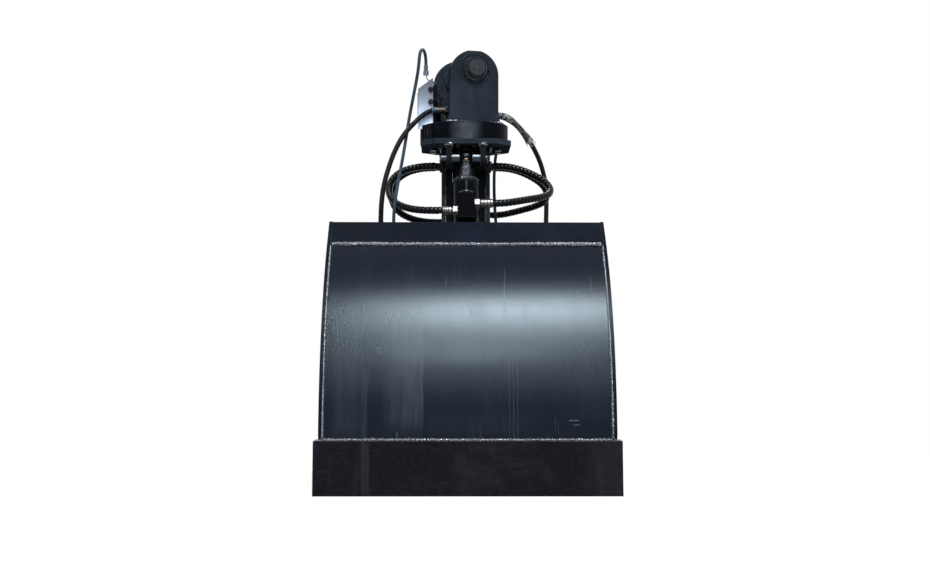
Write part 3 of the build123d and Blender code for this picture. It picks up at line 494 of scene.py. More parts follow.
class Recipe:
    """Builds one material's nodes."""

    def __init__(self, name):
        finishes[name] = bpy.data.materials.new(name)
        finishes[name].use_nodes = True
        self.tree = finishes[name].node_tree
        self.shader = self.tree.nodes["Principled BSDF"]
        self.place = self.add("ShaderNodeTexCoord").outputs["Object"]

    def add(self, kind, links=None, **settings):
        return add_node(self.tree, kind, links, **settings)

    def stretch(self, x, y, z):
        """The place on the part, scaled along each axis."""
        links = {0: self.place, 1: (x, y, z)}
        return self.add("ShaderNodeVectorMath", links, operation="MULTIPLY").outputs[0]

    def noise(self, scale, detail=4.0, rough=0.55, place=None, bend=0.0):
        links = {"Vector": place or self.place, "Scale": scale, "Detail": detail, "Roughness": rough,
                 "Distortion": bend}
        return self.add("ShaderNodeTexNoise", links).outputs["Fac"]

    def lumps(self, scale):
        """Rounded lumps, as on a rough forging."""
        links = {"Vector": self.place, "Scale": scale}
        return self.add("ShaderNodeTexVoronoi", links, feature="SMOOTH_F1").outputs["Distance"]

    def span(self, value, low, high, to_low=0.0, to_high=1.0):
        links = {"Value": value, "From Min": low, "From Max": high, "To Min": to_low, "To Max": to_high}
        return self.add("ShaderNodeMapRange", links, interpolation_type="SMOOTHSTEP").outputs[0]

    def math(self, operation, a, b=0.5, clamp=False):
        return self.add("ShaderNodeMath", {0: a, 1: b}, operation=operation, use_clamp=clamp).outputs[0]

    def plus(self, total, value, share, clamp=False):
        """A share of a value, added to a total."""
        return self.math("ADD", total, self.math("MULTIPLY", value, share), clamp)

    def source(self, socket):
        """What already feeds one of the shader's sockets."""
        return self.shader.inputs[socket].links[0].from_socket

    def mix(self, share, a, b):
        return self.add("ShaderNodeMix", {0: share, 6: a, 7: b}, data_type="RGBA").outputs[2]

    def height(self):
        """How high a point of the surface is, in metres."""
        return self.add("ShaderNodeSeparateXYZ", {0: self.place}).outputs[2]

    def patch(self, x, z, wide, tall, soft_x, soft_z, sway=None):
        """1 inside a soft-edged upright rectangle of the front and rear faces."""
        apart = self.add("ShaderNodeSeparateXYZ", {0: self.place})
        across = self.math("SUBTRACT", apart.outputs[0], x)
        if sway:
            across = self.math("ADD", across, sway)
        across = self.span(self.math("ABSOLUTE", across), wide, wide + soft_x, 1.0, 0.0)
        upright = self.math("ABSOLUTE", self.math("SUBTRACT", apart.outputs[2], z))
        return self.math("MULTIPLY", across, self.span(upright, tall, tall + soft_z, 1.0, 0.0))

    def worn_edges(self, radius=0.0025):
        """Near 1 on sharp outer edges."""
        rounded = self.add("ShaderNodeBevel", {"Radius": radius}, samples=4).outputs[0]
        plain = self.add("ShaderNodeNewGeometry").outputs["Normal"]
        return self.span(self.dot(rounded, plain), 0.98, 0.80)

    def dot(self, vector, direction):
        links = {0: vector, 1: direction}
        return self.add("ShaderNodeVectorMath", links, operation="DOT_PRODUCT").outputs["Value"]

    def bump(self, height, distance, strength, onto=None):
        links = {"Height": height, "Distance": distance, "Strength": strength}
        if onto:
            links["Normal"] = onto
        return self.add("ShaderNodeBump", links).outputs[0]

    def set(self, **sockets):
        """Feed the shader; an underscore in a name stands for a space."""
        for key, value in sockets.items():
            feed(self.tree, self.shader.inputs[key.replace("_", " ")], value)
        return self


# Blue tint of the gloss, which is painted reflection of a blue sky.
SKY_BLUE_GLOSS = (0.78, 0.90, 1.0, 1)


def tinted(base, share):
    return tuple(min(1.0, c * share) for c in base[:3]) + (1,)


def enamel(name, base, dust, rough, peel, dust_share, edge_wear_and_highlight, gloss=0.05, calm=None):
    """Sprayed enamel on steel plate, with dust, faint runs and rubbed edges; a large edge share makes the
    light edges a painted highlight.

    Undersides, and faces that look along the calm direction, are dull with overspray.
    """
    r = Recipe(name)
    clouds = r.noise(6.0, 5.0, 0.6)
    runs = r.noise(7.0, 4.0, 0.6, r.stretch(4.0, 4.0, 0.9))
    specks = r.span(r.noise(170.0, 2.0, 0.5), 0.66, 0.74)
    body = r.mix(r.span(clouds, 0.35, 0.7), base, tinted(base, 1.9))
    dirt = r.math("MULTIPLY", r.span(runs, 0.48, 0.75), dust_share)
    dirt = r.plus(dirt, specks, dust_share, clamp=True)
    body = r.mix(dirt, body, dust)
    # Light rubbed edges are wear, and they are a painted highlight where the share is large.
    edge = r.math("MULTIPLY", r.worn_edges(), r.span(r.noise(55.0, 3.0, 0.6), 0.40, 0.62, 0.1, edge_wear_and_highlight))
    body = r.mix(edge, body, (0.10, 0.11, 0.125, 1))
    shine = r.plus(r.span(clouds, 0.3, 0.75, rough - 0.05, rough + 0.07), dirt, 1.2, clamp=True)
    relief = r.bump(r.noise(240.0, 2.0, 0.5), 0.00014, peel)
    relief = r.bump(r.noise(620.0, 2.0, 0.5), 0.00005, peel, relief)
    heading = r.add("ShaderNodeNewGeometry").outputs["True Normal"]
    level = r.span(r.dot(heading, (0, 0, 1)), -0.85, -0.35, 0.0, gloss)
    if calm:
        sideways = r.math("ABSOLUTE", r.dot(heading, calm))
        level = r.math("MULTIPLY", level, r.span(sideways, 0.75, 0.96, 1.0, 0.0))
    return r.set(Base_Color=body, Roughness=shine, Normal=relief, Specular_IOR_Level=level,
                 Specular_Tint=SKY_BLUE_GLOSS)


def weld_enamel(base, dust):
    """Bright, uneven enamel over the weld beads, with painted glints: pale dots in the colour."""
    r = enamel("Weld_Enamel", base, dust, 0.13, 2.0, 0.03, 0.5, 0.90)
    # Pale dots in the colour, which are painted glints of the bead's ripples.
    painted_glints = r.span(r.noise(420.0, 2.0, 0.5), 0.54, 0.66, 0.0, 0.80)
    skin = r.source("Base Color")
    return r.set(Base_Color=r.mix(painted_glints, skin, (0.42, 0.40, 0.45, 1)))


# Marks rubbed into both shells: place across and up, half width and height, soft edges, strength
SHELL_MARKS = [
    (-0.152, 0.320, 0.032, 0.105, 0.002, 0.080, 0.085),
    (-0.190, 0.320, 0.008, 0.100, 0.040, 0.080, 0.070),
    (-0.278, 0.235, 0.006, 0.080, 0.006, 0.040, 0.050),
    (-0.325, 0.330, 0.022, 0.140, 0.030, 0.060, 0.045),
    (0.030, 0.190, 0.110, 0.012, 0.060, 0.025, 0.018),
    (0.285, 0.199, 0.011, 0.0008, 0.004, 0.0010, 0.42),
    (0.291, 0.187, 0.007, 0.0007, 0.003, 0.0010, 0.34),
    (-0.241, 0.392, 0.005, 0.0009, 0.002, 0.0010, 0.40),
    (-0.189, 0.160, 0.0008, 0.0060, 0.001, 0.0030, 0.38),
    (0.105, 0.560, 0.0006, 0.0400, 0.001, 0.0300, 0.10),
    (0.338, 0.300, 0.0300, 0.0700, 0.020, 0.0500, 0.016),
]
# Runs down both shells: place across and half height
SHELL_DRIPS = [(0.112, 0.095), (0.123, 0.118), (0.134, 0.105)]


def shell_enamel(base):
    """Glossy enamel of the curved shells: upright wipe marks, smears, runs and fine scratches."""
    r = Recipe("Curved_Sheet_Enamel")
    streaks = r.noise(75.0, 6.0, 0.62, r.stretch(1.0, 0.07, 0.07), 0.1)
    broad = r.noise(11.0, 4.0, 0.55, r.stretch(1.0, 0.20, 0.20), 0.3)
    smear = r.noise(5.2, 5.0, 0.6, r.stretch(1.0, 0.5, 0.65), 0.6)
    fine = r.span(r.noise(260.0, 2.0, 0.4, r.stretch(1.0, 0.03, 0.03), 0.05), 0.69, 0.75)
    fine = r.math("MULTIPLY", fine, r.span(r.noise(7.0, 3.0, 0.5), 0.50, 0.62))
    low = r.span(r.height(), 0.20, 0.44, 1.0, 0.0)
    wiped = r.math("MULTIPLY", r.span(smear, 0.52, 0.70), r.span(broad, 0.44, 0.64))
    film = r.math("MULTIPLY", wiped, 0.010)
    film = r.plus(film, r.span(streaks, 0.56, 0.76), 0.010)
    film = r.plus(film, fine, 0.12)
    film = r.plus(film, low, 0.006)
    sway = r.math("MULTIPLY", r.math("SUBTRACT", r.noise(9.0, 2.0, 0.5), 0.5), 0.014)
    broken = r.span(streaks, 0.35, 0.62, 0.45, 1.0)
    marks = None
    for x, z, wide, tall, soft_x, soft_z, share in SHELL_MARKS:
        mark = r.math("MULTIPLY", r.patch(x, z, wide, tall, soft_x, soft_z, sway), share)
        marks = r.math("MAXIMUM", marks, mark) if marks else mark
    for x, tall in SHELL_DRIPS:
        drip = r.math("MULTIPLY", r.patch(x, 0.262, 0.0006, tall, 0.0014, 0.03, sway), 0.10)
        marks = r.math("MAXIMUM", marks, drip)
    film = r.plus(film, marks, broken, clamp=True)
    body = r.mix(film, base, (0.17, 0.195, 0.235, 1))
    body = r.mix(r.math("MULTIPLY", r.worn_edges(), 0.25), body, (0.14, 0.15, 0.16, 1))
    shine = r.plus(r.span(streaks, 0.30, 0.72, 0.200, 0.235), wiped, 0.035)
    shine = r.plus(shine, marks, 0.25, clamp=True)
    relief = r.bump(r.noise(170.0, 3.0, 0.6), 0.00045, 0.6)
    relief = r.bump(r.noise(420.0, 2.0, 0.55), 0.00016, 0.8, relief)
    relief = r.bump(streaks, 0.00030, 0.12, relief)
    # Blue tint of the gloss, which is painted reflection of a blue sky.
    return r.set(Base_Color=body, Roughness=shine, Normal=relief, Specular_IOR_Level=0.17,
                 Specular_Tint=(0.72, 0.89, 1.0, 1))


def knife_paint(base):
    """Near black paint on the cutting plates, smeared by soil and dulled."""
    r = Recipe("Knife_Paint")
    cloud = r.noise(6.0, 6.0, 0.65, r.stretch(1.0, 1.0, 1.6), 0.4)
    drips = r.noise(26.0, 4.0, 0.6, r.stretch(1.0, 1.0, 0.12), 0.1)
    mottle = r.noise(85.0, 4.0, 0.6)
    rub = r.span(r.noise(120.0, 3.0, 0.5, r.stretch(0.08, 1.0, 1.0)), 0.62, 0.72)
    film = r.math("MULTIPLY", r.span(cloud, 0.50, 0.72), 0.030)
    film = r.plus(film, r.span(drips, 0.56, 0.72), 0.025)
    film = r.plus(film, rub, 0.03)
    smear = r.patch(-0.273, 0.075, 0.008, 0.060, 0.005, 0.03)
    film = r.plus(film, smear, 0.055)
    pale_end = r.patch(0.385, 0.075, 0.030, 0.080, 0.060, 0.03)
    film = r.plus(film, pale_end, 0.030, clamp=True)
    body = r.mix(r.span(mottle, 0.35, 0.66), tinted(base, 0.7), tinted(base, 1.3))
    body = r.mix(film, body, (0.115, 0.120, 0.135, 1))
    edge = r.math("MULTIPLY", r.worn_edges(0.003), r.span(r.noise(40.0), 0.38, 0.6, 0.1, 0.45))
    body = r.mix(edge, body, (0.12, 0.12, 0.125, 1))
    shine = r.span(cloud, 0.3, 0.7, 0.34, 0.52)
    relief = r.bump(mottle, 0.00030, 0.5)
    relief = r.bump(r.noise(380.0, 2.0), 0.00012, 0.7, relief)
    return r.set(Base_Color=body, Roughness=shine, Normal=relief, Specular_IOR_Level=0.05)


def barrel_enamel(base, dust):
    """Wet-looking enamel of the cylinders, rough as forged on the neck under the eye."""
    r = enamel("Barrel_Enamel", base, dust, 0.085, 0.20, 0.002, 0.2, 0.034)
    height = r.height()
    neck = r.math("MULTIPLY", r.span(height, 0.892, 0.902), r.span(height, 0.945, 0.952, 1.0, 0.0))
    lumps = r.lumps(190.0)
    beads = r.math("MULTIPLY", r.span(height, 0.860, 0.892, 0.12, 0.35), lumps)
    old = r.source("Normal")
    relief = r.bump(r.math("MULTIPLY", lumps, neck), 0.0036, 0.9, old)
    relief = r.bump(beads, 0.0012, 0.5, relief)
    level = r.source("Specular IOR Level")
    level = r.math("MULTIPLY", level, r.span(r.math("ADD", neck, beads), 0.0, 1.0, 1.0, 8.0))
    return r.set(Normal=relief, Specular_IOR_Level=level)


def disc_enamel(base, dust):
    """Smooth enamel of the slewing housing, with a painted highlight: a lighter patch in the middle of its
    front and back.
    """
    r = enamel("Disc_Enamel", base, dust, 0.19, 0.4, 0.006, 0.3, 0.022)
    # Lighter patch in the middle of the front and back, which is a painted highlight.
    film = r.patch(0.0, 1.048, 0.006, 0.016, 0.052, 0.026)
    film = r.math("MULTIPLY", film, r.span(r.noise(30.0, 4.0, 0.6), 0.3, 0.7, 0.14, 0.26))
    old = r.source("Base Color")
    return r.set(Base_Color=r.mix(film, old, (0.17, 0.20, 0.24, 1)))


def pin_finish(steel, black):
    """The suspension pin: bright where the link turns, painted at its ends."""
    r = Recipe("Pin_Finish")
    apart = r.add("ShaderNodeSeparateXYZ", {0: r.place})
    along = r.math("SUBTRACT", r.math("MULTIPLY", apart.outputs[1], cos(HEAD_YAW)),
                   r.math("MULTIPLY", apart.outputs[0], sin(HEAD_YAW)))
    painted = r.span(r.math("ABSOLUTE", along), 0.080, 0.084)
    tool = r.noise(700.0, 3.0, 0.6)
    stain = r.noise(45.0, 4.0, 0.6)
    paint = r.mix(r.span(stain, 0.5, 0.75), black, (0.030, 0.030, 0.032, 1))
    bare = r.mix(r.span(stain, 0.4, 0.7), steel, tinted(steel, 0.6))
    return r.set(Base_Color=r.mix(painted, bare, paint), Roughness=r.span(stain, 0.3, 0.7, 0.26, 0.42),
                 Metallic=r.math("SUBTRACT", 1.0, painted), Normal=r.bump(tool, 0.00008, 0.6),
                 Specular_IOR_Level=0.12)


def bare_metal(name, base, rough, lines, grime, grime_share, brush=(1.0, 1.0, 1.0)):
    """Plated, ground or machined metal with fine tool lines and a little grime."""
    r = Recipe(name)
    tool = r.noise(lines, 3.0, 0.6, r.stretch(*brush))
    stain = r.noise(38.0, 5.0, 0.6)
    body = r.mix(r.span(stain, 0.35, 0.7), base, tinted(base, 0.72))
    body = r.mix(r.math("MULTIPLY", r.span(r.noise(90.0, 4.0, 0.6), 0.52, 0.72), grime_share), body, grime)
    shine = r.math("ADD", r.span(tool, 0.3, 0.7, rough - 0.05, rough + 0.09),
                   r.span(stain, 0.45, 0.75, 0.0, 0.14), clamp=True)
    return r.set(Base_Color=body, Roughness=shine, Normal=r.bump(tool, 0.00006, 0.5), Metallic=1.0)


COVER_THREADS = 18.0


def rubber(name, base, rough, weave):
    """Hose cover with the print of the cloth that it was cured in."""
    r = Recipe(name)
    spot = r.add("ShaderNodeTexCoord").outputs["UV"]
    apart = r.add("ShaderNodeSeparateXYZ", {0: spot})
    around = r.math("MULTIPLY", apart.outputs[0], COVER_THREADS * tau)
    along = r.math("MULTIPLY", apart.outputs[1], weave)
    one = r.math("SINE", r.math("ADD", around, along))
    two = r.math("SINE", r.math("SUBTRACT", around, along))
    cloth = r.math("MAXIMUM", one, two)
    worn = r.noise(24.0, 5.0, 0.6)
    body = r.mix(r.span(worn, 0.42, 0.72), base, tinted(base, 2.2))
    body = r.mix(r.span(cloth, -0.4, 1.0, 0.0, 0.35), body, tinted(base, 1.8))
    shine = r.span(worn, 0.3, 0.7, rough - 0.05, rough + 0.14)
    relief = r.bump(cloth, 0.00025, 0.6)
    relief = r.bump(r.noise(300.0), 0.0001, 0.6, relief)
    # Blue tint of the gloss, which is painted reflection of a blue sky.
    return r.set(Base_Color=body, Roughness=shine, Normal=relief, Specular_IOR_Level=0.10,
                 Specular_Tint=(0.80, 0.90, 1.0, 1))


def wrap_plastic(base):
    """Hard black plastic of the spiral guard, shiny with fine scuffs."""
    r = Recipe("Wrap_Plastic")
    scuff = r.noise(140.0, 4.0, 0.65)
    body = r.mix(r.span(scuff, 0.55, 0.75, 0.0, 0.5), base, tinted(base, 4.0))
    shine = r.span(r.noise(46.0, 4.0, 0.6), 0.3, 0.7, 0.12, 0.20)
    relief = r.bump(scuff, 0.00008, 0.5)
    return r.set(Base_Color=body, Roughness=shine, Normal=relief, Specular_IOR_Level=0.14,
                 Specular_Tint=SKY_BLUE_GLOSS)


def yarn(base):
    """Pale and dark yarns of the textile sleeve, blotched with oil."""
    r = Recipe("Sleeve_Yarn")
    fibre = r.noise(900.0, 3.0, 0.6)
    dirt = r.noise(70.0, 5.0, 0.65, bend=0.8)
    stain = r.noise(26.0, 3.0, 0.6)
    body = r.mix(r.span(dirt, 0.40, 0.56), base, tinted(base, 0.06))
    body = r.mix(r.span(stain, 0.50, 0.62, 0.0, 0.8), body, tinted(base, 0.05))
    body = r.mix(r.span(fibre, 0.3, 0.7, 0.0, 0.4), body, tinted(base, 0.3))
    shine = r.span(fibre, 0.2, 0.8, 0.7, 0.95)
    relief = r.bump(fibre, 0.0003, 0.8)
    return r.set(Base_Color=body, Roughness=shine, Normal=relief, Specular_IOR_Level=0.15)


def plain_plastic(name, base, rough):
    """Moulded cap or seal with a fine grain."""
    r = Recipe(name)
    grain = r.noise(300.0, 3.0, 0.6)
    body = r.mix(r.span(r.noise(50.0), 0.35, 0.7), base, tinted(base, 0.6))
    return r.set(Base_Color=body, Roughness=r.span(grain, 0.3, 0.7, rough, rough + 0.15),
                 Normal=r.bump(grain, 0.0001, 0.6))


def guard_paint(base, dust):
    """Light grey paint of the motor guard, with rust specks and rubbed spots; lighter low down and darker
    high up, which is painted light and shade.
    """
    r = Recipe("Guard_Paint")
    cloud = r.noise(22.0, 5.0, 0.6, r.stretch(1.0, 1.0, 0.5))
    speck = r.span(r.noise(130.0, 3.0, 0.55), 0.63, 0.70)
    body = r.mix(r.span(cloud, 0.3, 0.7), tinted(base, 0.85), tinted(base, 1.15))
    # Lighter towards the bottom, which is painted light.
    body = r.mix(r.span(r.height(), 1.08, 1.16, 0.90, 0.0), body, tinted(base, 3.8))
    # Darker towards the top, which is painted shade.
    body = r.mix(r.span(r.height(), 1.13, 1.22), body, tinted(base, 0.34))
    body = r.mix(r.math("MULTIPLY", speck, 0.5), body, (0.07, 0.06, 0.05, 1))
    edge = r.math("MULTIPLY", r.worn_edges(), 0.5)
    body = r.mix(edge, body, dust)
    return r.set(Base_Color=body, Roughness=r.span(cloud, 0.3, 0.7, 0.38, 0.55),
                 Normal=r.bump(r.noise(350.0), 0.0001, 0.6))


# Building blocks

BEAD_RIPPLES = 400
BEAD_SIDES = 8


def ripple_bead(shape, line, radius, pitch, seed):
    """A weld bead of overlapping ripples along a line."""
    chance = Random(seed)
    line = evenly(line, pitch / 5)
    step = line_length(line) / (len(line) - 1)
    wander = [Vector([chance.uniform(-1, 1) for _ in range(3)]) for _ in range(BEAD_RIPPLES)]
    swell = [chance.uniform(0.88, 1.12) for _ in range(BEAD_RIPPLES)]
    moved, widths = [], []
    for i, point in enumerate(line):
        turn = i * step / pitch
        k, share = int(turn) % (BEAD_RIPPLES - 1), turn % 1.0
        moved.append(point + wander[k].lerp(wander[k + 1], share) * radius * 0.10)
        swollen = swell[k] + (swell[k + 1] - swell[k]) * share
        widths.append(radius * swollen * (0.84 + 0.20 * sin(pi * share)))
    ends = min(6, len(widths) // 2)
    for i in range(ends):
        fade = 0.35 + 0.65 * (i / ends) ** 0.5
        widths[i] *= fade
        widths[-1 - i] *= fade
    lookup = iter(widths)
    shape.tube(moved, lambda _: next(lookup), BEAD_SIDES)


def weld_piece(shape, name, body, finish="Weld_Enamel"):
    """Beads made one piece that rides on a body."""
    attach(shape.piece(name, finish, "black_paint", sharp=radians(60)), body)


def fitted(shape, name, finish, body, sharp=radians(32)):
    """A small piece that rides on a body."""
    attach(shape.piece(name, finish, sharp=sharp), body)


def straight(a, b):
    return [Vector(a), Vector(b)]


def on_spline(route):
    """Read the spline line of a route, and keep nothing."""
    line = spline_line(route)


# The spiral guard's strip: place across as a share of its width, and fall as a share of its depth
CROWN = [(-0.49, 0.55), (-0.40, 0.16), (-0.2, 0.02), (0.0, 0.0), (0.2, 0.02), (0.40, 0.16), (0.49, 0.55)]
SPIRAL_STEPS = 14


def spiral(line, pitch, width):
    """The crowned strip of a spiral guard, wound round a loop hose."""
    made = guides(evenly(line, pitch / SPIRAL_STEPS))
    inner, outer = LOOP_HOSE * 0.96, LOOP_WRAP
    drop = outer - inner
    section = [(-0.5, inner), *((share, outer - drop * fall) for share, fall in CROWN), (0.5, inner)]
    section = [(share * width, radius) for share, radius in section]
    rings = []
    for i, (point, along, side, up) in enumerate(made):
        turn = tau * i / SPIRAL_STEPS
        out = side * cos(turn) + up * sin(turn)
        lean = (along * (tau * outer) + (up * cos(turn) - side * sin(turn)) * -pitch).normalized()
        rings.append([point + lean * a + out * r for a, r in section])
    return Shape().loft(rings)


# Operators, after the colours that one finish alone has

# The blue in the near-black colours below is painted reflection of a blue sky; the rest is the paint's own
# black.
HEAD_COLOUR = (0.0078, 0.0112, 0.0160, 1)
DISC_COLOUR = (0.0012, 0.0016, 0.0026, 1)
BARREL_COLOUR = (0.0008, 0.0012, 0.0022, 1)
PIN_END_COLOUR = (0.016, 0.018, 0.022, 1)
MOTOR_HOSE_COLOUR = (0.012, 0.020, 0.029, 1)
PALE_BRASS_COLOUR = (0.20, 0.15, 0.09, 1)
# Blue-grey of the motor hose's end fitting, which is painted blue reflection on a glossy black fitting.
SKY_SHEEN_COLOUR = (0.085, 0.120, 0.160, 1)
SOOT = (0.03, 0.03, 0.032, 1)
PLASTICS = [
    ("Red_Cap", (0.45, 0.03, 0.02, 1), 0.40),
    ("Blue_Cap", (0.01, 0.13, 0.26, 1), 0.40),
    ("Black_Seal", (0.012, 0.012, 0.013, 1), 0.45),
]


class BUCKET_OT_studio(bpy.types.Operator):
    """Camera, lamps, floor and white surroundings"""

    bl_idname = "bucket.studio"
    bl_label = "Studio"

    def execute(self, context):
        scene = context.scene
        studio = scene.bucket_studio
        scene.view_settings.view_transform = "Standard"
        self.camera(scene, studio.lens)
        self.lamps(scene, studio)
        self.surroundings(scene, studio.ambient)
        self.floor(scene)
        return {"FINISHED"}

    def camera(self, scene, focal):
        lens = bpy.data.cameras.new("Camera")
        lens.lens = focal
        lens.sensor_width = 36
        camera = bpy.data.objects.new("Camera", lens)
        camera.location = CAMERA_PLACE
        camera.rotation_euler = CAMERA_TURN
        scene.collection.objects.link(camera)
        scene.camera = camera

    def lamps(self, scene, studio):
        """Area lamps that all point at the bucket: place, width and height, and power."""
        lamps = [
            ("Key", (0.42, -3.30, 5.70), (1.7, 0.9), studio.key),
            ("Upper", (0.34, -3.99, 5.28), (1.9, 1.0), studio.low),
            ("Middle", (0.30, -4.69, 4.64), (2.0, 1.0), studio.low * 0.42),
            ("Low", (0.24, -5.55, 3.53), (2.4, 1.5), studio.low * 0.235),
            ("Glint", (0.08, -5.03, 4.24), (0.36, 0.30), studio.low * 0.25),
            ("Back", (-0.5, 3.6, 4.4), (2.2, 1.3), studio.fill * 3.4),
            ("Left", (-4.4, 0.4, 2.4), (2.5, 2.5), studio.fill),
            ("Right", (4.4, 0.4, 2.4), (2.5, 2.5), studio.fill),
        ]
        for name, place, (wide, tall), power in lamps:
            lamp = bpy.data.lights.new(name, "AREA")
            lamp.shape = "RECTANGLE"
            lamp.size = wide
            lamp.size_y = tall
            lamp.energy = power
            holder = bpy.data.objects.new(name, lamp)
            holder.location = place
            aim = LAMP_AIM - Vector(place)
            holder.rotation_euler = aim.to_track_quat("-Z", "Y").to_euler()
            holder.visible_glossy = name not in UNMIRRORED
            scene.collection.objects.link(holder)

    def seen(self, tree):
        """1 for the rays that look at the surroundings, straight or in a mirror."""
        path = add_node(tree, "ShaderNodeLightPath").outputs
        total = path["Is Camera Ray"]
        for other in ("Is Glossy Ray", "Is Transmission Ray"):
            links = {0: total, 1: path[other]}
            total = add_node(tree, "ShaderNodeMath", links, operation="MAXIMUM").outputs[0]
        return total

    def surroundings(self, scene, ambient):
        """Even room light, and plain white where the camera or a mirror sees it."""
        world = bpy.data.worlds.new("Surroundings")
        world.use_nodes = True
        tree = world.node_tree
        room = tree.nodes["Background"]
        room.inputs["Color"].default_value = ROOM_TINT
        room.inputs["Strength"].default_value = ambient
        white = add_node(tree, "ShaderNodeBackground", {"Color": WHITE})
        links = {0: self.seen(tree), 1: room.outputs[0], 2: white.outputs[0]}
        mixed = add_node(tree, "ShaderNodeMixShader", links)
        tree.links.new(mixed.outputs[0], tree.nodes["World Output"].inputs["Surface"])
        scene.world = world

    def floor(self, scene):
        """A pale floor that keeps the bucket's shadow and whitens with distance."""
        mesh = bpy.data.meshes.new("Floor")
        reach = FLOOR_HALF
        corners = [(-reach, -reach, 0), (reach, -reach, 0), (reach, reach, 0), (-reach, reach, 0)]
        mesh.from_pydata(corners, [], [(0, 1, 2, 3)])
        ground = bpy.data.objects.new("Floor", mesh)
        ground.location.z = FLOOR_LEVEL
        scene.collection.objects.link(ground)
        material = bpy.data.materials.new("Studio_Floor")
        material.use_nodes = True
        tree = material.node_tree
        tree.nodes.remove(tree.nodes["Principled BSDF"])
        matt = add_node(tree, "ShaderNodeBsdfDiffuse", {"Color": FLOOR_GREY})
        glow = add_node(tree, "ShaderNodeEmission", {"Color": WHITE})
        place = add_node(tree, "ShaderNodeTexCoord").outputs["Object"]
        away = add_node(tree, "ShaderNodeVectorMath", {0: place}, operation="LENGTH").outputs["Value"]
        near, far, near_glow, far_glow = FLOOR_GLOW
        links = {"Value": away, "From Min": near, "From Max": far, "To Min": near_glow, "To Max": far_glow}
        glowing = add_node(tree, "ShaderNodeMapRange", links, interpolation_type="SMOOTHSTEP").outputs[0]
        links = {0: self.seen(tree), 1: glowing}
        share = add_node(tree, "ShaderNodeMath", links, operation="MULTIPLY").outputs[0]
        mixed = add_node(tree, "ShaderNodeMixShader", {0: share, 1: matt.outputs[0], 2: glow.outputs[0]})
        tree.links.new(mixed.outputs[0], tree.nodes["Material Output"].inputs["Surface"])
        mesh.materials.append(material)


